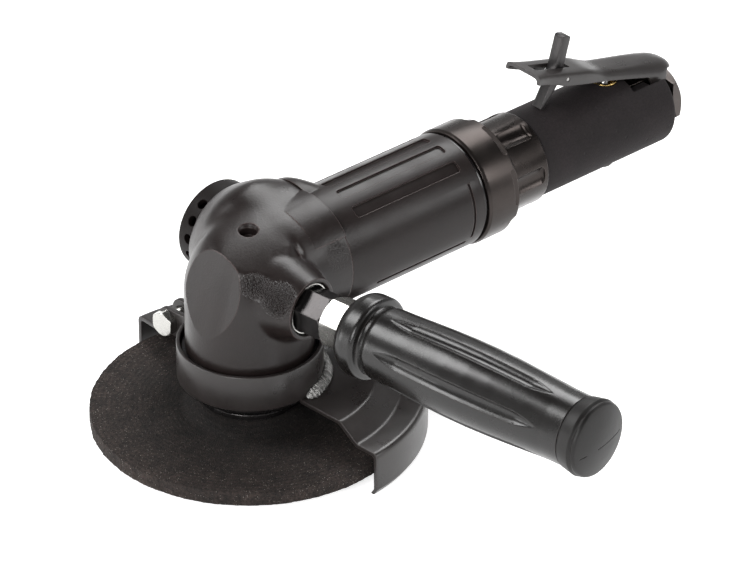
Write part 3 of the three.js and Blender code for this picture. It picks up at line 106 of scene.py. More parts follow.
def length_property(name, description, millimetres):
    """A length that a user can change."""
    return FloatProperty(name=name, description=description, default=millimetres * MM, unit="LENGTH", precision=5)


# Properties


class GrinderColours(bpy.types.PropertyGroup):
    """The colours of the grinder's finishes"""
    enamel: paint_property("Casting enamel", "Satin black enamel on the gear housing", "#211b1a")
    housing: paint_property("Motor housing", "Satin black coat on the motor housing", "#221c1b")
    anodised: paint_property("Anodised rings", "Black anodised aluminium of the clamp ring and nose", "#3b3634")
    powder: paint_property("Powder coat", "Black powder coat on the guard and the lever", "#2a2625")
    foam: paint_property("Foam sleeve", "Foam rubber on the grip", "#211c1d")
    moulded: paint_property("Side handle", "Moulded rubber of the side handle", "#151312")
    grit: paint_property("Grinding wheel", "Resin and grit of the wheel", "#191412")
    zinc: paint_property("Bright zinc", "Zinc plate on the coupler, washers and bolts", "#c2c1bd")
    nickel: paint_property("Satin nickel", "Nickel plate on the air inlet", "#55504e")
    steel: paint_property("Ground steel", "Bare steel of the spindle and bearings", "#a09f9d")
    oxide: paint_property("Black oxide", "Blackened steel of the nuts and the latch", "#3c3a3a")


class GrinderSizes(bpy.types.PropertyGroup):
    """The sizes of the grinder's surface patterns"""
    casting_grain: length_property("Casting grain", "Spacing of the sand grain on the casting", 0.9)
    grit_size: length_property("Grit size", "Spacing of the wheel's grains", 0.5)
    foam_cell: length_property("Foam cell", "Spacing of the foam's cells", 0.8)


class GrinderStudio(bpy.types.PropertyGroup):
    """The camera's place and lens, as they follow from the photograph"""
    azimuth: FloatProperty(
        name="Azimuth", description="Camera azimuth", subtype="ANGLE", default=math.radians(-41.32)
    )
    elevation: FloatProperty(
        name="Elevation", description="Camera height angle", subtype="ANGLE", default=math.radians(31.9)
    )
    distance: length_property("Distance", "From the camera to the origin along the view", 2071.13)
    focal_pixels: FloatProperty(name="Focal length", description="In pixels of the picture", default=5377.34)
    origin_u: FloatProperty(name="Origin across", description="The origin's pixel, across", default=250.95)
    origin_v: FloatProperty(name="Origin down", description="The origin's pixel, down", default=415.42)


PICTURE = (755, 566)
SENSOR = 36.0


# Places: each turned piece is made about Z in millimetres, and then put on one of these axes


def shift(x, y, z):
    """A move, in millimetres."""
    return Matrix.Translation((x * MM, y * MM, z * MM))


def turn(degrees, axis):
    """A turn about an axis through the origin."""
    return Matrix.Rotation(math.radians(degrees), 4, axis)


MOTOR_Z = 61.8
MOTOR_RADIUS = 23.3
MOTOR_BORE = 20.6
SLEEVE_RADIUS = 17.9
LEVER_PIN = (206.5, 0, 71.8)
LEVER_TILT = 16
LATCH_PIN = (53.4, 0, 6.9)  # from the lever's pin, along and above the lever
VALVE_X = 184.5
GUARD_TURN = 2
EAR_TURN = 97

ON_SPINDLE = Matrix.Identity(4)
ON_MOTOR = shift(0, 0, MOTOR_Z) @ turn(90, "Y")
ON_HANDLE = shift(0, 0, 61) @ turn(8.3, "Z") @ turn(90, "X")
ON_EXHAUST = shift(17, 0, MOTOR_Z) @ turn(-90, "X")
ON_VALVE = shift(VALVE_X, 0, MOTOR_Z)
ON_LEVER = shift(*LEVER_PIN) @ turn(180, "Z") @ turn(-LEVER_TILT, "Y")
ON_LEVER_PIN = shift(*LEVER_PIN) @ turn(90, "X")
ON_LATCH_PIN = ON_LEVER @ shift(*LATCH_PIN) @ turn(90, "X")
ON_CLAMP = turn(EAR_TURN, "Z") @ shift(38.5, 0, 29.2) @ turn(90, "X")


def about_motor(degrees):
    """The place of a shape that faces up, turned about the motor's axis from the top towards -Y."""
    return shift(0, 0, MOTOR_Z) @ turn(degrees, "X")


# Modelling tools


def mixed(a, b, share):
    """What lies between a and b, at a share of the way."""
    return a + (b - a) * share


def ease(share):
    """A share that starts and ends slowly."""
    return (1 - math.cos(math.pi * min(1, max(0, share)))) / 2


def only(piece):
    """Makes piece the one selected and active object, in object mode."""
    if bpy.context.object and bpy.context.object.mode != "OBJECT":
        bpy.ops.object.mode_set(mode="OBJECT")
    bpy.ops.object.select_all(action="DESELECT")
    piece.select_set(True)
    bpy.context.view_layer.objects.active = piece
    return piece


def from_points(name, points, faces, edges=()):
    """A new object from points in millimetres."""
    mesh = bpy.data.meshes.new(name)
    spots = [tuple(c * MM for c in point) for point in points]
    mesh.from_pydata(spots, list(edges), [tuple(face) for face in faces])
    piece = bpy.data.objects.new(name, mesh)
    bpy.context.scene.collection.objects.link(piece)
    return piece


def put(piece, place):
    """Moves a piece to its place and bakes the move into its mesh."""
    only(piece)
    piece.matrix_world = place
    bpy.ops.object.transform_apply(location=True, rotation=True, scale=True)
    return piece


def outwards(piece):
    """Joins doubled points and turns every face outwards."""
    only(piece)
    bpy.ops.object.mode_set(mode="EDIT")
    bpy.ops.mesh.select_all(action="SELECT")
    bpy.ops.mesh.remove_doubles(threshold=0.0005 * MM)
    bpy.ops.mesh.normals_make_consistent(inside=False)
    bpy.ops.object.mode_set(mode="OBJECT")
    return piece


def smooth(piece, degrees=35):
    """Shades a piece smooth, with its edges above an angle kept sharp."""
    only(piece)
    bpy.ops.object.shade_smooth_by_angle(angle=math.radians(degrees))
    return piece


def apply_all(piece):
    """Applies a piece's modifiers in order."""
    only(piece)
    for modifier in list(piece.modifiers):
        bpy.ops.object.modifier_apply(modifier=modifier.name)
    return piece


def combined(operation, piece, others):
    """Joins or cuts piece with the others, which are used up."""
    for other in others:
        tool = piece.modifiers.new("Shape", "BOOLEAN")
        tool.operation = operation
        tool.solver = "MANIFOLD"
        tool.object = other
        apply_all(piece)
        bpy.data.objects.remove(other, do_unlink=True)
    if not piece.data.polygons:
        raise RuntimeError(f"{piece.name} is empty after a {operation.lower()}")
    return piece


def cut(piece, *others):
    """Takes the others away from piece."""
    return combined("DIFFERENCE", piece, others)


def fuse(piece, *others):
    """Joins the others to piece."""
    return combined("UNION", piece, others)


def shared(piece, *others):
    """Keeps of piece what lies in the others too."""
    return combined("INTERSECT", piece, others)


def broken(piece, width, degrees=35, segments=2):
    """Bevels the edges of a piece that are sharper than an angle."""
    edge = piece.modifiers.new("Broken edges", "BEVEL")
    edge.width = width
    edge.segments = segments
    edge.limit_method = "ANGLE"
    edge.angle_limit = math.radians(degrees)
    return apply_all(piece)


def eased(corners, radius, steps=4, closed=True):
    """An outline with its corners rounded; a corner may name its own radius as a third number."""
    out = []
    count = len(corners)
    for i, corner in enumerate(corners):
        here = Vector(corner[:2])
        size = corner[2] if len(corner) > 2 else radius
        before, after = Vector(corners[i - 1][:2]) - here, Vector(corners[(i + 1) % count][:2]) - here
        ends = not closed and i in (0, count - 1)
        if ends or size == 0 or before.length < 1e-6 or after.length < 1e-6:
            out.append(tuple(here))
            continue
        bend = before.angle(after)
        if bend > math.radians(176):
            out.append(tuple(here))
            continue
        reach = min(size / math.tan(bend / 2), before.length * 0.48, after.length * 0.48)
        start, end = here + before.normalized() * reach, here + after.normalized() * reach
        for step in range(steps + 1):
            t = step / steps
            out.append(tuple(start * (1 - t) ** 2 + here * (2 * t * (1 - t)) + end * t**2))
    return out


def turned(name, outline, place=ON_SPINDLE, steps=128, degrees=360):
    """A turned solid from [radius, height] corners; an open outline starts and ends on the axis."""
    closed = outline[0][0] > 0
    count = len(outline)
    edges = [(i, i + 1) for i in range(count - 1)] + ([(count - 1, 0)] if closed else [])
    piece = from_points(name, [(r, 0, h) for r, h in (corner[:2] for corner in outline)], [], edges)
    spin = piece.modifiers.new("Turned", "SCREW")
    spin.axis = "Z"
    spin.angle = math.radians(degrees)
    spin.steps = spin.render_steps = steps
    spin.use_merge_vertices = True
    spin.merge_threshold = 0.0002 * MM
    apply_all(piece)
    if degrees < 360:
        only(piece)
        bpy.ops.object.mode_set(mode="EDIT")
        bpy.ops.mesh.select_mode(type="EDGE")
        bpy.ops.mesh.select_all(action="DESELECT")
        bpy.ops.mesh.select_non_manifold()
        bpy.ops.mesh.fill()
        bpy.ops.object.mode_set(mode="OBJECT")
    return put(outwards(piece), place)


def rod(name, radius, start, end, place=ON_SPINDLE, steps=64):
    """A solid cylinder."""
    return turned(name, [(0, start), (radius, start), (radius, end), (0, end)], place, steps)


def ring(name, outer, inner, start, end, place=ON_SPINDLE, edge=0.2, steps=128):
    """A tube with its edges rounded."""
    corners = [(inner, start), (outer, start), (outer, end), (inner, end)]
    return turned(name, eased(corners, edge, 3), place, steps)


def prism(name, corners, start, end, place=ON_SPINDLE):
    """A straight solid over a flat outline, from one height to another."""
    count = len(corners)
    points = [(x, y, start) for x, y in corners] + [(x, y, end) for x, y in corners]
    sides = [(i, (i + 1) % count, (i + 1) % count + count, i + count) for i in range(count)]
    return put(outwards(from_points(name, points, [range(count), range(count, 2 * count), *sides])), place)


def block(name, spans, place=ON_SPINDLE):
    """A box from its spans along X, Y and Z."""
    (x0, x1), (y0, y1), (z0, z1) = spans
    return prism(name, [(x0, y0), (x1, y0), (x1, y1), (x0, y1)], z0, z1, place)


def hexagon(across_flats):
    """A hexagon's outline, with a corner towards -Y."""
    corner = across_flats / math.sqrt(3)
    return [(corner * math.sin(math.radians(60 * i)), -corner * math.cos(math.radians(60 * i))) for i in range(6)]


def hex_bar(name, across_flats, start, end, edge, place, bore=0.0, spin=0.0):
    """A hexagonal bar whose ends are turned to a chamfer, so that each flat ends in an arc."""
    corner = across_flats / math.sqrt(3)
    run = edge * 0.6
    face = corner - edge
    turning = turned("turning", eased([(0, start), (face, start), (corner, start + run), (corner, end - run),
                                       (face, end), (0, end)], 0.15, 3, False))
    bar = broken(prism(name, hexagon(across_flats), start - 1, end + 1), 0.12 * MM, 30)
    shared(bar, turning)
    if bore:
        cut(bar, rod("bore", bore, start - 2, end + 2))
    return put(bar, place @ turn(spin, "Z"))


def wedge(first, last, steps, start, end):
    """A slice about the motor's axis, from one angle to another."""
    rim = [math.radians(mixed(first, last, i / steps)) for i in range(steps + 1)]
    return prism("wedge", [(0, 0)] + [(40 * math.cos(a), 40 * math.sin(a)) for a in rim], start, end, ON_MOTOR)


def slot_outline(start, end, half, corner, steps=8):
    """A rectangle along X with rounded corners."""
    return eased([(start, -half), (end, -half), (end, half), (start, half)], corner, steps)


def sheet_of_points(name, rows):
    """A closed skin through rows of points; every row is a ring with the same number of points."""
    count = len(rows[0])
    points = [point for row in rows for point in row]
    faces = [(r * count + i, r * count + (i + 1) % count, (r + 1) * count + (i + 1) % count, (r + 1) * count + i)
             for r in range(len(rows) - 1) for i in range(count)]
    faces += [range(count), range((len(rows) - 1) * count, len(rows) * count)]
    return outwards(from_points(name, points, faces))


def finish(piece, material, degrees=35, *nodes):
    """Gives a finished piece its shading and material, and lets it stand for the CAD nodes named."""
    smooth(piece, degrees)
    piece.data.materials.clear()
    piece.data.materials.append(material)
    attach(piece, frame["nodes"][nodes[0]]["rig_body"])
    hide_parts(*nodes)
    return piece


def dress(node_name, material):
    """Replaces one CAD node by a smooth copy of its surface."""
    source = frame["nodes"][node_name]
    piece = bpy.data.objects.new(f"{node_name}_surface", source.data.copy())
    bpy.context.scene.collection.objects.link(piece)
    return finish(outwards(piece), material, 35, node_name)


# Material tools


MIX_A, MIX_B, MIX_RESULT = 6, 7, 2  # the colour sockets of a Mix node


def node(tree, kind, inputs=None, **settings):
    """Adds a node with its settings; an input takes a value, or is linked where it is given a socket."""
    made = tree.nodes.new(kind)
    for key, value in settings.items():
        setattr(made, key, value)
    for key, value in (inputs or {}).items():
        if isinstance(value, bpy.types.NodeSocket):
            tree.links.new(value, made.inputs[key])
        else:
            made.inputs[key].default_value = value
    return made


def blank_material(name):
    """A new material with an empty tree."""
    material = bpy.data.materials.new(name)
    material.use_nodes = True
    material.node_tree.nodes.clear()
    return material


def close(material, bumps, gloss):
    """Ends a material with one shader that takes its bumps and its gloss."""
    tree = material.node_tree
    bump = node(tree, "ShaderNodeBump", {"Strength": 1.0, **bumps})
    shader = node(tree, "ShaderNodeBsdfPrincipled", {**gloss, "Normal": bump.outputs["Normal"]})
    node(tree, "ShaderNodeOutputMaterial", {"Surface": shader.outputs["BSDF"]})
    return material


def pitch(millimetres):
    """The scale of a texture that repeats at this length."""
    return 1 / (millimetres * MM)


def grey(value):
    """A grey as a linear colour."""
    return (value, value, value, 1.0)


def shade(base, factor):
    """A colour made darker or lighter by a factor."""
    return (*(min(1.0, c * factor) for c in base[:3]), 1.0)


def blend(tree, value, low, high, start, end):
    """A colour that goes from low to high as value goes from start to end."""
    share = node(tree, "ShaderNodeMapRange", {"Value": value, "From Min": start, "From Max": end})
    return node(tree, "ShaderNodeMix", {"Factor": share.outputs[0], MIX_A: low, MIX_B: high},
                data_type="RGBA").outputs[MIX_RESULT]


def near(tree, place, spot, reach, most):
    """Most at a spot, falling to none at a distance from it, in millimetres."""
    gap = node(tree, "ShaderNodeVectorMath", {0: place, 1: tuple(c * MM for c in spot)}, operation="DISTANCE")
    return node(tree, "ShaderNodeMapRange",
                {"Value": gap.outputs["Value"], "From Min": reach * MM, "From Max": 0.35 * reach * MM,
                 "To Max": most}, interpolation_type="SMOOTHSTEP").outputs[0]


def coated(name, base, rough, grain, depth, metallic=0.0, fleck=0.35, edge=0.4, rub=3.2, gloss_level=0.5,
           rough_spots=()):
    """A coated or plated surface: mottled colour, uneven gloss, a fine grain, and broken edges painted paler,
    partly as wear and partly as a painted highlight.

    Lengths are in millimetres. Round each rough spot the grain stands out more and glints.
    """
    material = blank_material(name)
    tree = material.node_tree
    place = node(tree, "ShaderNodeTexCoord").outputs["Object"]
    mottle = node(tree, "ShaderNodeTexNoise",
                  {"Vector": place, "Scale": pitch(14), "Detail": 5.0, "Roughness": 0.6}).outputs["Fac"]
    speck = node(tree, "ShaderNodeTexNoise",
                 {"Vector": place, "Scale": pitch(grain), "Detail": 3.0, "Roughness": 0.65}).outputs["Fac"]
    tone = blend(tree, mottle, shade(base, 1 - fleck * 0.5), shade(base, 1 + fleck * 0.5), 0.3, 0.7)
    fine = blend(tree, speck, grey(1 - fleck * 0.6), grey(1.0), 0.35, 0.62)
    body_tone = node(tree, "ShaderNodeMix", {"Factor": 0.6, MIX_A: tone, MIX_B: fine},
                     data_type="RGBA", blend_type="MULTIPLY").outputs[MIX_RESULT]
    # Where the rounded normal leaves the face's own, the piece has an edge, and there the colour is painted paler:
    # partly real wear of the coat, partly a painted highlight along the edge.
    rounded = node(tree, "ShaderNodeBevel", {"Radius": edge * MM}, samples=4).outputs["Normal"]
    flat = node(tree, "ShaderNodeNewGeometry").outputs["Normal"]
    facing = node(tree, "ShaderNodeVectorMath", {0: rounded, 1: flat}, operation="DOT_PRODUCT")
    worn_and_lit_edge = node(tree, "ShaderNodeMapRange",
                  {"Value": facing.outputs["Value"], "From Min": 0.99, "From Max": 0.86, "To Max": 1.3})
    patchy_wear_and_highlight = node(tree, "ShaderNodeMath", {0: worn_and_lit_edge.outputs[0], 1: speck}, operation="MULTIPLY")
    tinted = node(tree, "ShaderNodeMix", {"Factor": patchy_wear_and_highlight.outputs[0], MIX_A: body_tone, MIX_B: shade(base, rub)},
                  data_type="RGBA").outputs[MIX_RESULT]
    gloss = node(tree, "ShaderNodeMapRange", {"Value": mottle, "From Min": 0.3, "From Max": 0.7,
                                              "To Min": rough - 0.05, "To Max": rough + 0.07})
    height = speck
    for spot, reach, gain in rough_spots:
        sand = node(tree, "ShaderNodeTexVoronoi", {"Vector": place, "Scale": pitch(0.75)})
        height = node(tree, "ShaderNodeMath",
                      {0: near(tree, place, spot, reach, -gain), 1: sand.outputs["Distance"], 2: height},
                      operation="MULTIPLY_ADD").outputs[0]
    return close(material, {"Distance": depth * MM, "Height": height, "Normal": rounded},
                 {"Base Color": tinted, "Metallic": metallic, "Roughness": gloss.outputs[0],
                  "Specular IOR Level": gloss_level})


def abrasive(name, base, grit):
    """Resin-bonded abrasive: dark grains with a few pale ones, rings of glass-fibre mesh and a rough skin."""
    material = blank_material(name)
    tree = material.node_tree
    place = node(tree, "ShaderNodeTexCoord").outputs["Object"]
    flat = node(tree, "ShaderNodeVectorMath", {0: place, 1: (1, 1, 0)}, operation="MULTIPLY").outputs[0]
    far = node(tree, "ShaderNodeVectorMath", {0: flat}, operation="LENGTH").outputs["Value"]
    grains = node(tree, "ShaderNodeTexVoronoi", {"Vector": place, "Scale": pitch(grit)})
    coarse = node(tree, "ShaderNodeTexNoise",
                  {"Vector": place, "Scale": pitch(7), "Detail": 5.0, "Roughness": 0.7}).outputs["Fac"]
    fine = node(tree, "ShaderNodeTexNoise",
                {"Vector": place, "Scale": pitch(1.1), "Detail": 4.0, "Roughness": 0.75}).outputs["Fac"]
    # Pale grains crowd together in patches, and towards the rim where the skin is worn off.
    pick = node(tree, "ShaderNodeSeparateColor", {"Color": grains.outputs["Color"]})
    pale = node(tree, "ShaderNodeMath", {0: pick.outputs["Red"], 1: 0.84}, operation="GREATER_THAN")
    core = node(tree, "ShaderNodeMath", {0: grains.outputs["Distance"], 1: 0.27}, operation="LESS_THAN")
    worn = node(tree, "ShaderNodeMath", {0: coarse, 1: far}, operation="MULTIPLY")
    crowd = node(tree, "ShaderNodeMapRange",
                 {"Value": worn.outputs[0], "From Min": 14 * MM, "From Max": 32 * MM, "To Min": 0.2})
    speck = pick.outputs["Green"]
    for part in (pale, core, crowd):
        speck = node(tree, "ShaderNodeMath", {0: speck, 1: part.outputs[0]}, operation="MULTIPLY").outputs[0]
    # The mesh under the skin shows as rings 2 mm apart.
    waves = node(tree, "ShaderNodeMath", {0: far, 1: 2 * math.pi / (2 * MM)}, operation="MULTIPLY").outputs[0]
    rings = node(tree, "ShaderNodeMath", {0: waves}, operation="SINE").outputs[0]
    rows = node(tree, "ShaderNodeMapRange", {"Value": rings, "From Min": -1.0, "To Min": 0.82, "To Max": 1.15})
    outer = node(tree, "ShaderNodeMapRange",
                 {"Value": far, "From Min": 24 * MM, "From Max": 62 * MM, "To Min": 0.5, "To Max": 1.8})
    grainy = node(tree, "ShaderNodeMapRange",
                  {"Value": fine, "From Min": 0.35, "From Max": 0.7, "To Min": 0.35, "To Max": 2.6})
    tone = blend(tree, coarse, shade(base, 0.55), shade(base, 1.7), 0.32, 0.7)
    for part in (rows, outer, grainy):
        tone = node(tree, "ShaderNodeVectorMath", {0: tone, "Scale": part.outputs[0]}, operation="SCALE").outputs[0]
    tone = node(tree, "ShaderNodeMix", {"Factor": speck, MIX_A: tone, MIX_B: colour("#bdb5ad")},
                data_type="RGBA").outputs[MIX_RESULT]
    height = fine
    for part, gain in ((rings, 0.12), (grains.outputs["Distance"], -0.8)):
        height = node(tree, "ShaderNodeMath", {0: part, 1: gain, 2: height}, operation="MULTIPLY_ADD").outputs[0]
    return close(material, {"Distance": 0.4 * MM, "Height": height},
                 {"Base Color": tone, "Roughness": 0.82, "Specular IOR Level": 0.35})


def foam(name, base, cell):
    """Closed-cell foam rubber: fine cells, scattered deeper pits, a matt face."""
    material = blank_material(name)
    tree = material.node_tree
    place = node(tree, "ShaderNodeTexCoord").outputs["Object"]
    cells = node(tree, "ShaderNodeTexNoise",
                 {"Vector": place, "Scale": pitch(cell), "Detail": 4.0, "Roughness": 0.7}).outputs["Fac"]
    broad = node(tree, "ShaderNodeTexNoise", {"Vector": place, "Scale": pitch(18), "Detail": 3.0}).outputs["Fac"]
    pits = node(tree, "ShaderNodeTexVoronoi", {"Vector": place, "Scale": pitch(4.2)})
    pick = node(tree, "ShaderNodeSeparateColor", {"Color": pits.outputs["Color"]})
    few = node(tree, "ShaderNodeMath", {0: pick.outputs["Red"], 1: 0.6}, operation="GREATER_THAN")
    core = node(tree, "ShaderNodeMapRange", {"Value": pits.outputs["Distance"], "From Min": 0.2, "From Max": 0.08})
    hollow = node(tree, "ShaderNodeMath", {0: few.outputs[0], 1: core.outputs[0]}, operation="MULTIPLY")
    height = node(tree, "ShaderNodeMath", {0: hollow.outputs[0], 1: -1.6, 2: cells}, operation="MULTIPLY_ADD")
    tone = blend(tree, broad, shade(base, 0.8), shade(base, 1.2), 0.35, 0.65)
    fine = blend(tree, cells, grey(0.7), grey(1.15), 0.35, 0.65)
    speckled = node(tree, "ShaderNodeMix", {"Factor": 1.0, MIX_A: tone, MIX_B: fine},
                    data_type="RGBA", blend_type="MULTIPLY").outputs[MIX_RESULT]
    return close(material, {"Distance": 0.12 * MM, "Height": height.outputs[0]},
                 {"Base Color": speckled, "Roughness": 0.8, "Specular IOR Level": 0.3})


MATERIALS = {}


def finishes(context):
    """Every finish of the grinder, made once: name, colour, roughness, then grain and depth in millimetres."""
    if MATERIALS:
        return MATERIALS
    look = context.scene.grinder_colours
    size = context.scene.grinder_sizes
    # Each coat's edge factor sets how much paler, or below 1 darker, its edges are painted: partly wear, partly
    # painted highlight.
    coats = {
        # Sand-cast aluminium under sprayed satin enamel: soft broad gloss, the sand's grain still showing. The
        # grain is drawn coarser than the real 0.3 mm, so that it shows.
        "casting": ("cast_aluminium_satin_enamel", look.enamel, 0.32, size.casting_grain / MM, 0.06, {
            "gloss_level": 0.36, "rub": 10.0, "edge": 0.8,
            "rough_spots": (((-14, -20.5, 74), 8, 20.0), ((-6, -26, 67), 9, 20.0), ((27, -21, 71), 9, 3.0))}),
        # Turned aluminium under satin black: smoother than the casting.
        "housing": ("turned_aluminium_satin_black", look.housing, 0.33, 0.8, 0.02, {
            "gloss_level": 0.26, "rub": 10.0, "rough_spots": (((33, -21, 71), 14, 2.0),)}),
        # A turned cap under dry satin black: dull, so that its holes read as the darkest spots. Its colour is the
        # housing's at half strength, which is painted shade.
        "cap": ("turned_cap_satin_black", shade(look.housing, 0.5), 0.5, 0.7, 0.012, {"gloss_level": 0.14}),
        # Black anodised aluminium: a metal's gloss under a dark, even oxide.
        "anodised": ("black_anodised_aluminium", look.anodised, 0.3, 0.6, 0.006, {"metallic": 0.9, "fleck": 0.2}),
        # The same metal, finely turned: crisper lights along its flutes.
        "nose": ("turned_black_aluminium", shade(look.anodised, 0.9), 0.24, 0.7, 0.006,
                 {"metallic": 0.9, "fleck": 0.25}),
        # Powder-coated sheet steel: a fine orange peel.
        "powder": ("powder_coated_sheet_steel", look.powder, 0.3, 1.1, 0.02, {"rub": 5.0}),
        # Moulded rubber with a mould release shine: wet-looking streaks of light.
        "moulded": ("moulded_rubber_handle", look.moulded, 0.25, 2.2, 0.01, {"rub": 10.0, "edge": 0.5}),
        # The same rubber from a duller mould.
        "cap_rubber": ("moulded_rubber_cap", look.moulded, 0.42, 1.4, 0.03,
                       {"rub": 4.0, "edge": 0.5, "gloss_level": 0.35}),
        # Bright zinc plate on steel: near white, with dull edges.
        "zinc": ("bright_zinc_plated_steel", look.zinc, 0.24, 1.2, 0.006,
                 {"metallic": 1.0, "fleck": 0.15, "rub": 0.5}),
        # Satin nickel plate on steel: a darker, softer metal.
        "nickel": ("satin_nickel_plated_steel", look.nickel, 0.34, 0.8, 0.006,
                   {"metallic": 1.0, "fleck": 0.2, "rub": 1.6}),
        # Ground steel: plain, bright and even.
        "steel": ("ground_bearing_steel", look.steel, 0.25, 0.6, 0.004, {"metallic": 1.0, "fleck": 0.15}),
        # Steel blackened in a hot oxide bath: a metal's edge glints, bare where handled.
        "oxide": ("black_oxide_steel", look.oxide, 0.26, 0.7, 0.01, {"metallic": 0.85, "rub": 6.0, "edge": 0.45}),
        # The same bath on a sawn bar: duller.
        "latch": ("black_oxide_latch_bar", look.oxide, 0.33, 0.7, 0.008, {"metallic": 0.6, "rub": 3.0}),
        # Turned brass: warm and sharp.
        "brass": ("turned_brass_bushing", colour("#c8aa6c"), 0.18, 0.7, 0.004,
                  {"metallic": 1.0, "fleck": 0.1, "rub": 1.2}),
        # Nitrile rubber, oiled: the blackest line on the tool.
        "rubber": ("nitrile_rubber_ring", shade(look.foam, 0.5), 0.25, 0.8, 0.005, {}),
        # Weld metal, left bare and lumpy, with some overspray.
        "weld": ("bare_weld_metal", shade(look.steel, 0.45), 0.25, 1.1, 0.35, {"metallic": 0.9, "fleck": 0.9}),
        # Phenolic laminate: matt brown.
        "phenolic": ("phenolic_laminate_vane", colour("#6d4b2c"), 0.6, 0.5, 0.02, {}),
    }
    for key, (*plain, more) in coats.items():
        MATERIALS[key] = coated(*plain, **more)
    # Foam rubber, skinned on its mould: no gloss at all.
    MATERIALS["foam"] = foam("foam_rubber_sleeve", look.foam, size.foam_cell / MM)
    # Resin-bonded grit over glass-fibre mesh: dark, rough, with pale grains.
    MATERIALS["grit"] = abrasive("resin_bonded_abrasive", look.grit, size.grit_size / MM)
    return MATERIALS


# Gear housing


HEAD_RADIUS = 24.8
HEAD_FOOT = 33.2
STRAP_END = 32.3
BOSS_END = 31.5
BELL_END = 31
LOBE_Y, LOBE_RISE, LOBE_RADIUS = 11.4, 5.6, 19
SPARE = 3.0  # what is cut off again where a form ends in a flat face
BELL = [(22.5, -2), (24.5, 5), (26, 10), (27.4, 15), (28, 19), (27.1, 21), (25.2, 24), (23.5, 27), (21.6, 30)]


def roof_height(x, y):
    """The height of the head's sloping, slightly domed roof."""
    return MOTOR_Z + 21.7 + 0.152 * x + 0.173 * y - x**2 / 367 - y**2 / 86


def head_tower():
    """The round tower under its roof."""
    base, height, crown = 57.1, 29.7, 2.4
    steps = 28
    angles = [RIGHT_ANGLE * i / steps for i in range(steps + 1)]
    shoulder = [(mixed(crown, HEAD_RADIUS, math.cos(a)), base + height * math.sin(a)) for a in angles]
    foot = HEAD_FOOT - SPARE
    outline = [(0, foot), (HEAD_RADIUS, foot), *shoulder, (0, base + height)]
    tower = turned("gear_housing_surface", outline, steps=144)
    count = 48
    reach = HEAD_RADIUS + 2
    spots = [(-reach + 2 * reach * i / count, -reach + 2 * reach * j / count)
             for j in range(count + 1) for i in range(count + 1)]
    top = [(x, y, roof_height(x, y)) for x, y in spots]
    low = [(x, y, HEAD_FOOT - 2 * SPARE) for x, y in spots]
    wide = count + 1
    cells = [(j * wide + i, j * wide + i + 1, (j + 1) * wide + i + 1, (j + 1) * wide + i)
             for j in range(count) for i in range(count)]
    rim = list(range(wide)) + [j * wide + count for j in range(1, wide)]
    rim += [count * wide + i for i in range(count - 1, -1, -1)] + [j * wide for j in range(count - 1, 0, -1)]
    total = len(spots)
    walls = [(rim[k], rim[(k + 1) % len(rim)], rim[(k + 1) % len(rim)] + total, rim[k] + total)
             for k in range(len(rim))]
    lid = outwards(from_points("lid", top + low, cells + [[c + total for c in cell] for cell in cells] + walls))
    return shared(tower, lid)


def head_casting():
    """The tower, neck, lobe, exhaust bell and handle boss, run together like one casting."""
    limit = rod("limit", 29.5, -HEAD_RADIUS, STRAP_END, shift(0, 8, 4.7) @ ON_MOTOR, 128)
    bell_top = BELL_END + SPARE
    bell = turned("bell", [(0, -2), *BELL, (20.8, BELL_END), (19.6, bell_top), (0, bell_top)], ON_EXHAUST, 128)
    shared(bell, limit)
    neck = rod("neck", MOTOR_RADIUS, 12, STRAP_END + SPARE, ON_MOTOR, 128)
    lobe = rod("lobe", LOBE_RADIUS, 8, STRAP_END + SPARE, shift(0, LOBE_Y, LOBE_RISE) @ ON_MOTOR, 128)
    boss_top = BOSS_END + SPARE
    taper = (16.8 - 12.4) / (BOSS_END - 18)
    boss = turned("boss", [(0, 0), (18.6, 8), (16.8, 18), (12.4, BOSS_END), (12.4 - taper * SPARE, boss_top),
                           (0, boss_top)], ON_HANDLE, 128)
    casting = fuse(head_tower(), neck, lobe, bell, boss)
    melt = casting.modifiers.new("One skin", "REMESH")
    melt.mode = "VOXEL"
    melt.voxel_size = 0.7 * MM
    apply_all(casting)
    # The far side and the run from the roof to the neck flow together; the near edges stay crisp.
    group = casting.vertex_groups.new(name="Far side")
    for vertex in casting.data.vertices:
        x, y, z = vertex.co / MM
        level = min(1, max(0, (z - 62) / 8))
        soft = max(min(1, max(0, (y + 4) / 9)), min(1, max(0, (x - 4) / 8)) * min(1, max(0, (y + 14) / 6)))
        group.add([vertex.index], level * soft, "REPLACE")
    for title, rounds, part in (("Flow", 220, "Far side"), ("Cast fillets", 9, "")):
        flow = casting.modifiers.new(title, "SMOOTH")
        flow.factor = 0.5
        flow.iterations = rounds
        flow.vertex_group = part
    apply_all(casting)
    size = 90
    return cut(casting,
               block("seam", [(STRAP_END, size), (-size, size), (0, 2 * size)]),
               block("foot", [(-size, size), (-size, size), (-size, HEAD_FOOT)]),
               block("handle_face", [(-size, size), (-size, size), (BOSS_END, size)], ON_HANDLE),
               block("exhaust_face", [(-size, size), (-size, size), (BELL_END, size)], ON_EXHAUST))


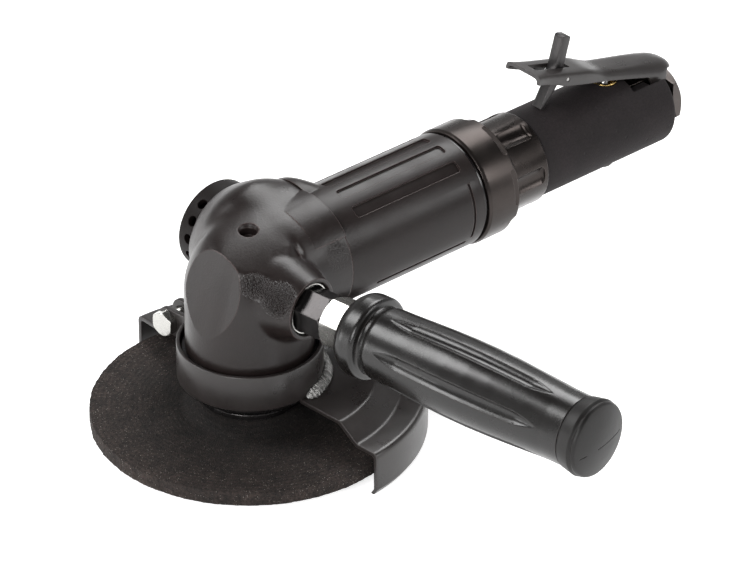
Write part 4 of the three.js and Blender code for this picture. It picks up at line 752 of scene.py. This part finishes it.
class GRINDER_OT_head(bpy.types.Operator):
    """Build the gear housing, the exhaust cap, the bearing cap and its seal"""
    bl_idname = "grinder.head"
    bl_label = "Gear housing"

    def execute(self, context):
        made = finishes(context)
        casting = head_casting()
        band = turned("band", eased([(20, 17.5), (23.32, 17.5), (24.7, STRAP_END, 0.35), (20, STRAP_END)], 0, 5),
                      ON_MOTOR, 192)
        shared(band, wedge(180 - 52, 180 + 52, 24, 10, 40))
        fuse(casting, band, rod("spigot", 14.6, 0, 33.4, ON_EXHAUST, 96))
        facet = turn(5.4, "Z") @ shift(-HEAD_RADIUS, 0, HEAD_FOOT + 14) @ turn(16.2, "Y")
        cavity = [(0, 31), (20.9, 31), (20.9, 36.7), (18.4, 36.7), (18.4, 58.6), (12.5, 66), (12.5, 70.4),
                  (9.7, 70.4), (9.7, 78.4), (0, 78.4)]
        cut(casting,
            block("facet", [(-60, 0), (-60, 60), (-60, 80)], facet),
            turned("cavity", cavity, steps=96),
            rod("neck_bore", MOTOR_BORE, 14, 36, ON_MOTOR, 96),
            turned("counterbore", eased([(0, 26.5), (10.6, 26.5), (10.6, 31.0), (11.2, 31.6), (11.2, 40), (0, 40)],
                                        0.3, 3, False), ON_HANDLE, 96),
            rod("handle_bore", 6.0, 22.5, 32, ON_HANDLE, 48),
            rod("exhaust_bore", 9, 0, 36, ON_EXHAUST, 48),
            turned("plug_hole", [(0, 79.3), (3.45, 79.3), (3.45, 82.6), (4.1, 83.4), (5, 90), (0, 90)], steps=64))
        finish(casting, made["casting"], 22, "gear_housing")

        outside = eased([(16, 31.2), (18.2, 31.2, 0.2), (18.2, 41, 1.3), (12.4, 41), (11.8, 40.4), (0, 40.4)],
                        0.3, 6, False)
        cup = turned("exhaust_cap_surface", [*outside, (0, 38.8), (16, 38.8)], ON_EXHAUST, 160)
        for i in range(8):
            outward = ON_EXHAUST @ shift(0, 0, 35) @ turn(-125.4 - 24 * i, "Z") @ turn(90, "Y")
            cut(cup, rod("hole", 2.1, 14, 20, outward, 40))
        finish(cup, made["cap"], 40, "exhaust_cap")

        section = eased([(13, 17.5), (26.3, 17.5, 1.2), (26.3, 33), (20.7, 33), (20.7, 36.5), (17.7, 36.5),
                         (17.7, 21.8), (13, 21.8)], 0.3, 4)
        finish(turned("bearing_cap_surface", section, steps=160), made["oxide"], 35, "bearing_cap")
        dress("spindle_seal", made["rubber"])
        return {"FINISHED"}


# Wheel and spindle


class GRINDER_OT_spindle(bpy.types.Operator):
    """Build the wheel, its flange and nut, and the spindle"""
    bl_idname = "grinder.spindle"
    bl_label = "Spindle and wheel"

    def execute(self, context):
        made = finishes(context)
        section = eased([(11.2, 4.6), (19, 4.6, 2), (26, 0, 2), (62.5, 0), (62.5, 6), (26.4, 6, 2),
                         (19.4, 10.6, 2), (11.2, 10.6)], 0.6, 5)
        wheel = turned("grinding_wheel_surface", section, steps=360)
        # The rim is worn unevenly, by up to a millimetre.
        points = np.empty(len(wheel.data.vertices) * 3)
        wheel.data.vertices.foreach_get("co", points)
        points = points.reshape(-1, 3)
        far = np.hypot(points[:, 0], points[:, 1])
        angle = np.arctan2(points[:, 1], points[:, 0])
        chips = sum(np.sin(angle * k + p) for k, p in ((13, 0.4), (29, 2.1), (61, 4.4), (97, 1.3), (151, 3.0))) / 5
        rim = np.clip((far - 61.4 * MM) / (1.1 * MM), 0, 1)
        points[:, :2] *= (1 - rim * (0.45 + 0.4 * chips) * MM / far)[:, None]
        wheel.data.vertices.foreach_set("co", points.ravel())
        finish(wheel, made["grit"], 40, "grinding_wheel")
        section = eased([(7.2, 6.6), (11, 6.6), (11, 10.8), (20, 10.8), (20, 13), (11.5, 15.7), (7.2, 15.7)],
                        0.35, 4)
        finish(turned("wheel_flange_surface", section), made["oxide"], 35, "wheel_flange")
        section = eased([(7.2, 0.8), (16.3, 0.8, 1), (17.5, 2), (17.5, 4.4), (7.2, 4.4)], 0.25, 3)
        nut = turned("wheel_lock_nut_surface", section)
        for side in (1, -1):
            cut(nut, rod("pin_hole", 2.2, -1, 2.8, shift(12.5 * side, 0, 0), 40))
        finish(nut, made["oxide"], 35, "wheel_lock_nut")
        dress("spindle", made["steel"])
        return {"FINISHED"}


# Motor housing


SEAM_X = STRAP_END + 0.06


def lobe_at(x):
    """The centre and radius of the round lobe along the far side, which sinks into the tube at its end."""
    faded = ease((x - 33.5) / 13.5)
    return mixed(LOBE_Y, 2.6, faded), MOTOR_Z + mixed(LOBE_RISE, 0.8, faded), mixed(LOBE_RADIUS, 20, faded)


class GRINDER_OT_motor(bpy.types.Operator):
    """Build the motor housing, the joint seal and the clamp ring"""
    bl_idname = "grinder.motor"
    bl_label = "Motor housing"

    def execute(self, context):
        made = finishes(context)
        section = eased([(17.4, 19), (20.4, 19), (20.4, SEAM_X), (MOTOR_RADIUS, SEAM_X, 0.06),
                         (MOTOR_RADIUS, 100.3, 0.35), (21.9, 100.3), (21.9, 109.8), (MOTOR_BORE, 109.8),
                         (MOTOR_BORE, 29.2), (17.4, 29.2)], 0, 4)
        tube = turned("motor_housing_surface", section, ON_MOTOR, 192)
        angles = [2 * math.pi * k / 144 for k in range(144)]
        rows = []
        for i in range(25):
            x = mixed(SEAM_X, 47, i / 24)
            y, z, radius = lobe_at(x)
            rows.append([(x, y + radius * math.cos(a), z + radius * math.sin(a)) for a in angles])
        lobe = sheet_of_points("lobe", rows)
        cut(lobe, rod("bore", MOTOR_BORE, 30, 50, ON_MOTOR, 96))
        fuse(tube, lobe)
        for angle, start, end, width, depth, corner in (
            *((a, 41.5, 94.5, 5.0, 0.9, 1.6) for a in (11, -11, 35, -35)),
            *((a, 46.5, 92.5, 1.6, 0.7, 0.7) for a in (119, -119)),
        ):
            strip = prism("strip", slot_outline(start, end, width / 2, corner), 20, 27, about_motor(angle))
            cut(tube, shared(strip, ring("strip_floor", 30, MOTOR_RADIUS - depth, 30, 98, ON_MOTOR, 0.1, 192)))
        for side in (1, -1):
            groove = ring("groove", 27, 22.5, 94.1, 95.2, ON_MOTOR, 0.3, 192)
            cut(tube, shared(groove, wedge(180 + 55 * side, 180 + 115 * side, 16, 90, 100)))
        finish(tube, made["housing"], 35, "motor_housing")
        seal = ring("joint_seal_surface", 22.5, 22.0, 100.5, 101.9, ON_MOTOR, 0.15, 160)
        finish(seal, made["rubber"], 35, "joint_seal")

        section = eased([(22.1, 102.1), (23.4, 102.1, 0.3), (24, 103.3, 0.8), (24, 117.2, 0.8),
                         (22.8, 118.4, 0.4), (19.1, 118.4), (19.1, 111.9), (22.1, 111.9)], 0.1, 5)
        clamp = turned("clamp_ring_surface", section, ON_MOTOR, 192)
        for i in range(7):
            outline = slot_outline(115.1, 122, 7.4, 1.4)
            cut(clamp, prism("notch", outline, 22.5, 27, about_motor(26.5 + 360 / 7 * i)))
        finish(clamp, made["anodised"], 35, "clamp_ring")
        return {"FINISHED"}


# Grip and air inlet


LUG_HALF = 6.2
LUG_END = 209.4


class GRINDER_OT_grip(bpy.types.Operator):
    """Build the throttle body, the grip sleeve and the air inlet"""
    bl_idname = "grinder.grip"
    bl_label = "Grip and inlet"

    def execute(self, context):
        made = finishes(context)
        radius, flute_radius, flute_depth = 18.9, 6.4, 1.6
        section = eased([(0, 101.7), (20.3, 101.7), (20.3, 111.7), (radius, 111.7), (radius, 137.6, 0.4),
                         (14, 137.6), (14, LUG_END, 0.4), (0, LUG_END)], 0.1, 4, False)
        body = turned("throttle_body_surface", section, ON_MOTOR, 192)
        section = eased([(0, 121), (flute_radius, 121, 2.0), (flute_radius, 135.8, 2.0), (0, 135.8)], 0, 8, False)
        for i in range(6):
            aside = turn(206 + 60 * i, "Z") @ shift(radius + flute_radius - flute_depth, 0, 0)
            cut(body, turned("flute", section, ON_MOTOR @ aside, 96))
        fuse(body, block("lug", [(190.9, LUG_END), (-LUG_HALF, LUG_HALF), (MOTOR_Z, 75.8)]))
        above = (MOTOR_Z + 5, MOTOR_Z + 30)
        cut(body,
            rod("spigot_bore", 7.8, 195.5, 213, ON_MOTOR, 48),
            rod("bushing_bore", 4.5, 0, 17, ON_VALVE, 48),
            rod("pin_bore", 1.5, -8, 8, ON_LEVER_PIN, 32),
            block("saddle", [(190.5, 214), (LUG_HALF, MOTOR_RADIUS), above]),
            block("saddle", [(190.5, 214), (-MOTOR_RADIUS, -LUG_HALF), above]))
        finish(body, made["nose"], 35, "throttle_body")

        section = eased([(14.2, 137.9), (SLEEVE_RADIUS, 137.9, 0.8), (SLEEVE_RADIUS, 208, 4), (14.2, 208)], 0, 8)
        sleeve = turned("grip_sleeve_surface", section, ON_MOTOR, 192)
        for start, half, floor in ((190.5, 11, 13.4), (200, 11, 5), (190.7, 6.6, 5)):
            cut(sleeve, prism("saddle", slot_outline(start, 212, half, 0.8, 6), MOTOR_Z + floor, MOTOR_Z + 30))
        cut(sleeve, rod("bushing_hole", 5.4, 0, 22, ON_VALVE, 48), rod("plug_hole", 3.9, -22, 0, ON_VALVE, 48))
        finish(sleeve, made["foam"], 40, "grip_sleeve")

        flats = 24
        corner = flats / math.sqrt(3)
        section = eased([(5.8, 196.4), (7.6, 196.4), (7.6, 209.6), (11, 209.6), (11, 211.8), (11.6, 211.8),
                         (corner, 213.0), (corner, 214.6), (11.2, 217, 0.5), (6.6, 217, 0.2), (5.8, 216.2)],
                        0.15, 4)
        bushing = turned("inlet_bushing_surface", section, ON_MOTOR, 160)
        hexagonal = broken(prism("hexagonal", hexagon(flats), 190, 220), 0.35 * MM, 30, 3)
        shared(bushing, put(hexagonal, ON_MOTOR @ turn(20, "Z")))
        finish(bushing, made["nickel"], 30, "inlet_bushing")
        dress("inlet_screen", made["steel"])
        return {"FINISHED"}


# Throttle lever and lock-off latch


LEVER = {"reach": 70.9, "tail": 8.4, "flare": 9.9, "sheet": 1.4, "depth": 14}
LEVER["waist"] = 0.42 * LEVER["reach"]
LEVER["front"] = 0.62 * LEVER["reach"]


def lever_section(x):
    """Half width, crown height and squareness of the pressed lever, x millimetres in front of its pin."""
    to_waist = ease(x / LEVER["waist"])
    to_front = ease((x - LEVER["waist"]) / (LEVER["front"] - LEVER["waist"]))
    to_flare = min(1, max(0, 1 - (LEVER["reach"] - x) / LEVER["flare"]))
    half_width, crown, squareness = (
        mixed(mixed(rear, middle, to_waist), front, to_front)
        for rear, middle, front in ((8.9, 7.9, 8.4), (9.6, 8.3, 9.6), (2.6, 4, 8))
    )
    return mixed(half_width, 9.7, to_flare**2), crown, squareness


def lever_form(name, inset):
    """The lever as a solid bar with a round back, or what its sheet leaves inside."""
    start, end = -LEVER["tail"] + inset, LEVER["reach"] + (2 if inset else 0)
    rows = []
    for i in range(97):
        x = mixed(start, end, i / 96)
        half_width, crown, squareness = lever_section(x)
        rear = max(0.0, 1 - (x + LEVER["tail"]) / LEVER["tail"])
        rounding = math.sqrt(max(0.0, 1 - rear * rear))
        width = (half_width - inset) * mixed(0.55, 1, rounding)
        middle = crown - LEVER["depth"] / 2
        rise = crown - inset - (1 - rounding) * 2 - middle
        row = [(x, width, -LEVER["depth"])]
        for k in range(65):
            c, s = math.cos(math.pi * k / 64), math.sin(math.pi * k / 64)
            power = 2 / squareness
            row.append((x, width * math.copysign(abs(c) ** power, c), middle + rise * abs(s) ** power))
        row.append((x, -width, -LEVER["depth"]))
        rows.append(row)
    return sheet_of_points(name, rows)


class GRINDER_OT_throttle(bpy.types.Operator):
    """Build the lever, the lock-off latch, their pins and the valve"""
    bl_idname = "grinder.throttle"
    bl_label = "Throttle lever"

    def execute(self, context):
        made = finishes(context)
        reach, tail = LEVER["reach"], LEVER["tail"]
        latch_x, latch_z = LATCH_PIN[0], LATCH_PIN[2]
        ear = [(3.4 * math.cos(a), 3.4 * math.sin(a)) for a in (math.pi * (1 + i / 16) for i in range(17))]
        side = [(reach + 2, 12), (-tail - 2, 12), (-tail - 2, 6.9), (-4.4, 6.9), (-3.4, 5.9), *ear, (7, 4.2),
                (reach - 16.3, 4.2), (reach - LEVER["flare"], 5.4), (reach + 2, 6.4)]
        trim = prism("trim", side, -14, 14, turn(90, "X"))
        shell = shared(lever_form("throttle_lever_surface", 0), trim)
        cut(shell, lever_form("inside", LEVER["sheet"]))
        cut(shell,
            prism("slot", slot_outline(latch_x - 5.7, reach - 4.1, 2.8, 0.9, 6), 6.8, 12),
            rod("pin_hole", 1.5, -12, 12, turn(90, "X"), 40),
            rod("latch_pin_hole", 0.9, -12, 12, shift(*LATCH_PIN) @ turn(90, "X"), 32))
        put(shell, ON_LEVER)
        finish(shell, made["powder"], 30, "throttle_lever")

        # The latch leans back from its pin, and its foot stops just short of the grip.
        tilt, lean = math.radians(LEVER_TILT), math.radians(20.5)
        foot, clearance = 2.3, 0.25
        pin_height = LEVER_PIN[2] + latch_x * math.sin(tilt) + latch_z * math.cos(tilt)
        drop = pin_height - MOTOR_Z - SLEEVE_RADIUS - clearance - foot * math.sin(tilt)
        length = drop / math.cos(lean + tilt)
        foot_x, foot_z = length * math.sin(lean), -length * math.cos(lean)
        outline = eased([(2.1, 15.9, 1.2), (-2.3, 15.9, 1.2), (-2.2, 0), (-2.2, -2.4, 2),
                         (foot_x - foot, foot_z, 0.3), (foot_x, foot_z, 0.3), (2.2, -2.4, 2), (2.2, 0)], 1, 6)
        bar = prism("lock_latch_surface", outline, -2.3, 2.3, ON_LATCH_PIN)
        cut(bar, rod("pin_bore", 0.76, -4, 4, ON_LATCH_PIN, 32))
        finish(broken(bar, 0.3 * MM, 50), made["latch"], 35, "lock_latch")

        section = eased([(0, -10.2), (1.3, -10.2), (1.3, 10.2), (0, 10.2)], 0.4, 4, False)
        finish(turned("lever_pin_surface", section, ON_LEVER_PIN, 48), made["steel"], 35, "lever_pin")
        clip = ring("lever_pin_clip_surface", 2.9, 1.5, 9.1, 9.8, ON_LEVER_PIN, 0.2, 64)
        cut(clip, prism("gap", [(-0.9, 0), (0.9, 0), (1.3, 4), (-1.3, 4)], 8, 11, ON_LEVER_PIN @ turn(200, "Z")))
        finish(clip, made["zinc"], 35, "lever_pin_clip")
        finish(rod("latch_pin_surface", 0.7, -8.2, 8.2, ON_LATCH_PIN, 32), made["steel"], 35, "latch_pin")
        dress("latch_spring", made["steel"])
        dress("valve_stem", made["steel"])
        # The spring stands on the plug and is pressed down by the stem. Here it is only given a mesh of its own.
        spring = dress("valve_spring", made["steel"])
        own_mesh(spring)

        collar = fuse(ring("collar", 5.3, 4.0, 15.2, 16.6, ON_VALVE, 0.35, 96),
                      ring("lip", 5.3, 4.5, 17.2, 18.0, ON_VALVE, 0.3, 96),
                      ring("tube", 4.8, 4.0, 15.0, 17.8, ON_VALVE, 0.1, 96))
        bushing = fuse(rod("valve_bushing_surface", 4.3, 1.5, 15.9, ON_VALVE), collar)
        finish(cut(bushing, rod("guide", 2.06, 0, 20, ON_VALVE, 48)), made["brass"], 35, "valve_bushing")
        dress("valve_plug", made["oxide"])
        return {"FINISHED"}


# Side handle


GRIP_OUTLINE = [(11.4, 53), (14.2, 54.4), (16.1, 56.8), (16.5, 58.6), (16.5, 63.6), (15.9, 64.5), (13.6, 65),
                (13.6, 67), (14.2, 68.6), (14.4, 75), (14.9, 85), (15.4, 95), (15.7, 105), (15.7, 115),
                (15.4, 125), (14.9, 135), (14.3, 145), (13.9, 152), (13.8, 160)]
FLUTE = {"first": 42, "start": 73, "end": 150, "runout": 12.8, "half": 9.5, "depth": 1.4}


def smooth_line(corners, steps):
    """The outline's corners with points between them, softened by averaging each with its neighbours."""
    line = []
    for (r0, k0), (r1, k1) in zip(corners, corners[1:]):
        count = max(2, round(math.hypot(r1 - r0, k1 - k0) / steps))
        line += [(mixed(r0, r1, i / count), mixed(k0, k1, i / count)) for i in range(count)]
    line.append(corners[-1])
    inner = [tuple((a + 2 * b + c) / 4 for a, b, c in zip(*points)) for points in zip(line, line[1:], line[2:])]
    return [line[0], *inner, line[-1]]


def flute_sink(along, degrees):
    """How deep a flute sinks the handle's skin: a hollow with a crisp rim that runs to a point at each end."""
    nearest = abs((degrees - FLUTE["first"] + 30) % 60 - 30)
    from_end = min(along - FLUTE["start"], FLUTE["end"] - along) / FLUTE["runout"]
    if from_end <= 0:
        return 0.0
    reach = FLUTE["half"] * math.sin(RIGHT_ANGLE * min(1, from_end)) ** 0.9
    across = max(0.0, 1 - (nearest / reach) ** 2)
    return FLUTE["depth"] * min(1, from_end * 1.3) * across**0.7


class GRINDER_OT_handle(bpy.types.Operator):
    """Build the side handle and what fastens it"""
    bl_idname = "grinder.handle"
    bl_label = "Side handle"

    def execute(self, context):
        made = finishes(context)
        rows = []
        for radius, along in smooth_line(GRIP_OUTLINE, 0.55):
            row = []
            for degrees in range(360):
                r, a = radius - flute_sink(along, degrees), math.radians(degrees)
                row.append((r * math.cos(a), r * math.sin(a), along))
            rows.append(row)
        grip = put(sheet_of_points("handle_grip_surface", rows), ON_HANDLE)
        cut(grip,
            rod("pocket", 10.9, 40, 55.2, ON_HANDLE, 96),
            rod("bore", 6.0, 50, 74, ON_HANDLE, 48),
            rod("cap_bore", 8.4, 151, 162, ON_HANDLE, 64))
        finish(grip, made["moulded"], 40, "handle_grip")

        face = [(14 * share, 171.2 - 2.2 * share**2, 0) for share in (1 - i / 12 for i in range(1, 13))]
        section = eased([(0, 151.8), (8.2, 151.8), (8.2, 160.2), (13.7, 160.2, 0.3), (14.2, 160.8, 0.5),
                         (15.2, 166, 0.5), (14.3, 167, 0.4), (14.8, 167.8, 0.5), (14.2, 168.9, 0.8), *face],
                        0.2, 5, False)
        cap = turned("handle_end_cap_surface", section, ON_HANDLE, 160)
        for start, end in ((-12, -8.5), (-3, 11.5)):
            cut(cap, block("slit", [(start, end), (-1.5, -1.2), (168.5, 173)], ON_HANDLE @ turn(4, "Z")))
        finish(cap, made["cap_rubber"], 40, "handle_end_cap")

        for name, flats, start, end, edge, key in (
            ("handle_coupler", 18, 42.5, 55, 1.6, "zinc"),
            ("handle_nut", 16.4, 28.1, 42.3, 0.9, "oxide"),
        ):
            finish(hex_bar(f"{name}_surface", flats, start, end, edge, ON_HANDLE, 6.0, 8), made[key], 30, name)
        section = eased([(6.0, 26.7), (10.2, 26.7), (10.2, 30.6), (9.5, 30.6), (8.8, 28.1), (6.0, 28.0)], 0.25, 4)
        finish(turned("handle_washer_surface", section, ON_HANDLE), made["zinc"], 35, "handle_washer")
        dress("handle_stud", made["steel"])
        return {"FINISHED"}


# Wheel guard


class GRINDER_OT_guard(bpy.types.Operator):
    """Build the wheel guard, its collar and its clamp screw"""
    bl_idname = "grinder.guard"
    bl_label = "Wheel guard"

    def execute(self, context):
        made = finishes(context)
        section = eased([(66.6, -5, 0.3), (68.2, -2.6, 1), (68.2, 13.6, 2.4), (57.7, 13.6, 3), (48.6, 19.8, 3),
                         (27, 19.8), (27, 18.2), (47.8, 18.2, 3), (56.9, 12, 3), (66.6, 12, 1.6), (66.6, -2.6, 1),
                         (65.0, -5, 0.3)], 0.3, 7)
        shroud = turned("guard_shroud_surface", section, turn(GUARD_TURN - 88, "Z"), 160, 176)
        finish(broken(shroud, 0.25 * MM, 55), made["powder"], 40, "guard_shroud")

        foot, inner, gap = 20.1, 26.7, 2.6
        band = ring("guard_collar_surface", 28.2, inner, foot, 35.2, edge=0.4, steps=192)
        top, low = 34.6, 23.6
        outline = eased([(27.2, low), (43.4, low, 4.5), (43.4, top, 4.5), (27.2, top)], 0, 10)
        for start, end in ((gap, 5.0), (-5.0, -gap)):
            ear = prism("ear", outline, start, end, turn(EAR_TURN, "Z") @ turn(90, "X"))
            fuse(band, broken(ear, 0.35 * MM, 50))
        cut(band,
            block("split", [(0, 45.4), (-gap, gap), (18, 38)], turn(EAR_TURN, "Z")),
            rod("bolt_hole", 3.2, -8, 8, ON_CLAMP, 48),
            rod("inside", inner, 15, 40, ON_SPINDLE, 192))
        finish(band, made["powder"], 40, "guard_collar")

        # A lumpy weld in the corner of collar and shroud, thinner where it starts and ends.
        root = 28.4
        waves = ((0.14, 1.9, 0), (0.08, 4.7, 1), (0.05, 9.3, 0))
        rows = []
        for i in range(421):
            degrees = -84 + 168 * i / 420
            a = math.radians(degrees + GUARD_TURN)
            lump = 0.86 + sum(size * math.sin(degrees * rate + start) for size, rate, start in waves)
            lump = min(1.0, lump) * min(1.0, 0.5 + min(i, 420 - i) / 24)
            row = []
            for k in range(13):
                share = k / 12 * RIGHT_ANGLE
                heap = lump * (1 - 0.16 * math.sin(2 * share))
                row.append((root + 3.5 * heap * math.cos(share), foot + 3.3 * heap * math.sin(share)))
            row.append((root, foot))
            rows.append([(r * math.cos(a), r * math.sin(a), z) for r, z in row])
        finish(sheet_of_points("weld_bead_surface", rows), made["weld"], 60, "weld_bead")

        flats, seat = 9.4, 5.05
        bolt = hex_bar("clamp_bolt_surface", flats, seat, seat + 3.5, 0.6, ON_SPINDLE)
        section = eased([(0, -11.4), (3, -11.4), (3, 5.4), (0, 5.4)], 0.5, 3, False)
        fuse(bolt, turned("shank", section, ON_SPINDLE, 64))
        finish(put(bolt, ON_CLAMP @ turn(180, "X")), made["zinc"], 30, "clamp_bolt")
        nut = hex_bar("clamp_nut_surface", flats, seat, seat + 4.6, 0.6, ON_CLAMP, 3.03)
        finish(nut, made["zinc"], 30, "clamp_nut")
        return {"FINISHED"}


# Inner parts and studio


class GRINDER_OT_inside(bpy.types.Operator):
    """Give the bearings, gears and motor parts inside their finishes"""
    bl_idname = "grinder.inside"
    bl_label = "Inner parts"

    def execute(self, context):
        made = finishes(context)
        kinds = {"vane": "phenolic", "bevel": "oxide", "pinion": "oxide"}
        for name, piece in frame["nodes"].items():
            if piece.hide_render:
                continue
            key = next((kinds[start] for start in kinds if name.startswith(start)), "steel")
            piece.data.materials.clear()
            piece.data.materials.append(made[key])
        return {"FINISHED"}


class GRINDER_OT_stage(bpy.types.Operator):
    """Build the floor, the soft lights, the white surroundings and the camera"""
    bl_idname = "grinder.stage"
    bl_label = "Studio"

    def execute(self, context):
        studio = context.scene.grinder_studio
        floor_height = CAD_BOX[0][2] - 0.2 * MM
        bpy.ops.object.select_all(action="DESELECT")
        bpy.ops.mesh.primitive_plane_add(size=14.0, location=(0, 0, floor_height))
        floor = bpy.context.object
        floor.name = "studio_floor"
        material = blank_material("matt_white_backdrop")
        tree = material.node_tree
        # The camera and the reflections see a floor that glows white; all other light meets it as matt.
        path = node(tree, "ShaderNodeLightPath")
        diffuse = node(tree, "ShaderNodeBsdfDiffuse", {"Color": grey(0.8), "Roughness": 0.5})
        glow = node(tree, "ShaderNodeEmission", {"Strength": 0.74})
        lit = node(tree, "ShaderNodeAddShader", {0: diffuse.outputs["BSDF"], 1: glow.outputs["Emission"]})
        seen = node(tree, "ShaderNodeMath", {0: path.outputs["Is Camera Ray"], 1: path.outputs["Is Glossy Ray"]},
                    operation="MAXIMUM")
        either = node(tree, "ShaderNodeMixShader",
                      {"Fac": seen.outputs["Value"], 1: diffuse.outputs["BSDF"], 2: lit.outputs["Shader"]})
        node(tree, "ShaderNodeOutputMaterial", {"Surface": either.outputs["Shader"]})
        floor.data.materials.append(material)

        world = bpy.data.worlds.new("studio_air")
        world.use_nodes = True
        tree = world.node_tree
        tree.nodes.clear()
        path = node(tree, "ShaderNodeLightPath")
        seen = node(tree, "ShaderNodeMath",
                    {0: path.outputs["Is Camera Ray"], 1: path.outputs["Is Transmission Ray"]}, operation="MAXIMUM")
        white = node(tree, "ShaderNodeBackground", {"Color": grey(1.0), "Strength": 1.0})
        # Bright near the horizon and dark overhead, as in a studio with a pale wall.
        height = node(tree, "ShaderNodeSeparateXYZ",
                      {"Vector": node(tree, "ShaderNodeTexCoord").outputs["Generated"]}).outputs["Z"]
        fall = node(tree, "ShaderNodeMapRange",
                    {"Value": height, "From Min": 0.45, "From Max": 0.72, "To Min": 0.48, "To Max": 0.08},
                    interpolation_type="SMOOTHSTEP")
        dim = node(tree, "ShaderNodeBackground", {"Color": grey(1.0), "Strength": fall.outputs["Result"]})
        either = node(tree, "ShaderNodeMixShader",
                      {"Fac": seen.outputs["Value"], 1: dim.outputs["Background"], 2: white.outputs["Background"]})
        node(tree, "ShaderNodeOutputWorld", {"Surface": either.outputs["Shader"]})
        context.scene.world = world

        target = Vector((0.07, -0.02, 0.06))
        for name, place, size, watts in (
            ("softbox_over", (0.85, 0.5, 1.2), 0.8, 15),
            ("softbox_back", (-0.62, 0.75, 1.15), 0.6, 11),
            ("softbox_left", (-1.25, -0.6, 0.75), 0.6, 14),
            ("softbox_low", (-1.0, 0.62, 0.16), 0.3, 2),
            ("softbox_right", (0.9, -1.3, 0.8), 0.6, 7),
        ):
            bpy.ops.object.light_add(type="AREA", location=place)
            lamp = bpy.context.object
            lamp.name = name
            lamp.data.shape = "SQUARE"
            lamp.data.size = size
            lamp.data.energy = watts
            lamp.rotation_euler = (target - Vector(place)).to_track_quat("-Z", "Y").to_euler()

        # The camera looks along one line of the photograph, and the origin falls on its own pixel.
        swing, rise = studio.azimuth, studio.elevation
        back = Vector((math.sin(swing) * math.cos(rise), -math.cos(swing) * math.cos(rise), math.sin(rise)))
        right = Vector((math.cos(swing), math.sin(swing), 0))
        up = back.cross(right)
        across = (studio.origin_u - PICTURE[0] / 2) / studio.focal_pixels * studio.distance
        down = (studio.origin_v - PICTURE[1] / 2) / studio.focal_pixels * studio.distance
        place = -(right * across - up * down - back * studio.distance)
        camera = bpy.data.objects.new("studio_camera", bpy.data.cameras.new("studio_camera"))
        context.scene.collection.objects.link(camera)
        camera.matrix_world = Matrix.Translation(place) @ Matrix((right, up, back)).transposed().to_4x4()
        camera.data.sensor_width = SENSOR
        camera.data.lens = studio.focal_pixels * SENSOR / PICTURE[0]
        camera.data.clip_start = 0.05
        camera.data.clip_end = 30
        context.scene.camera = camera
        context.scene.view_settings.view_transform = "Standard"
        return {"FINISHED"}


class GRINDER_PT_pieces(bpy.types.Panel):
    """The grinder's pieces and finishes"""
    bl_idname = "GRINDER_PT_pieces"
    bl_label = "Angle grinder"
    bl_space_type = "VIEW_3D"
    bl_region_type = "UI"
    bl_category = "Grinder"

    def draw(self, context):
        for group in (context.scene.grinder_colours, context.scene.grinder_sizes, context.scene.grinder_studio):
            box = self.layout.box()
            for name in group.__annotations__:
                box.prop(group, name)
        for step in STEPS:
            self.layout.operator(step.bl_idname)


GROUPS = {
    "grinder_colours": GrinderColours,
    "grinder_sizes": GrinderSizes,
    "grinder_studio": GrinderStudio,
}
STEPS = (
    GRINDER_OT_head,
    GRINDER_OT_spindle,
    GRINDER_OT_motor,
    GRINDER_OT_grip,
    GRINDER_OT_throttle,
    GRINDER_OT_handle,
    GRINDER_OT_guard,
    GRINDER_OT_inside,
    GRINDER_OT_stage,
)


def register():
    """Adds the classes, and puts each group of properties on the scene."""
    for made in (*GROUPS.values(), *STEPS, GRINDER_PT_pieces):
        bpy.utils.register_class(made)
    for name, group in GROUPS.items():
        setattr(bpy.types.Scene, name, PointerProperty(type=group))


def unregister():
    """Takes the groups and the classes away again."""
    for name in GROUPS:
        delattr(bpy.types.Scene, name)
    for made in reversed((*GROUPS.values(), *STEPS, GRINDER_PT_pieces)):
        bpy.utils.unregister_class(made)


def main():
    """Runs every step in order."""
    register()
    for step in STEPS:
        family, name = step.bl_idname.split(".")
        getattr(getattr(bpy.ops, family), name)()


if __name__ == "__main__":
    main()
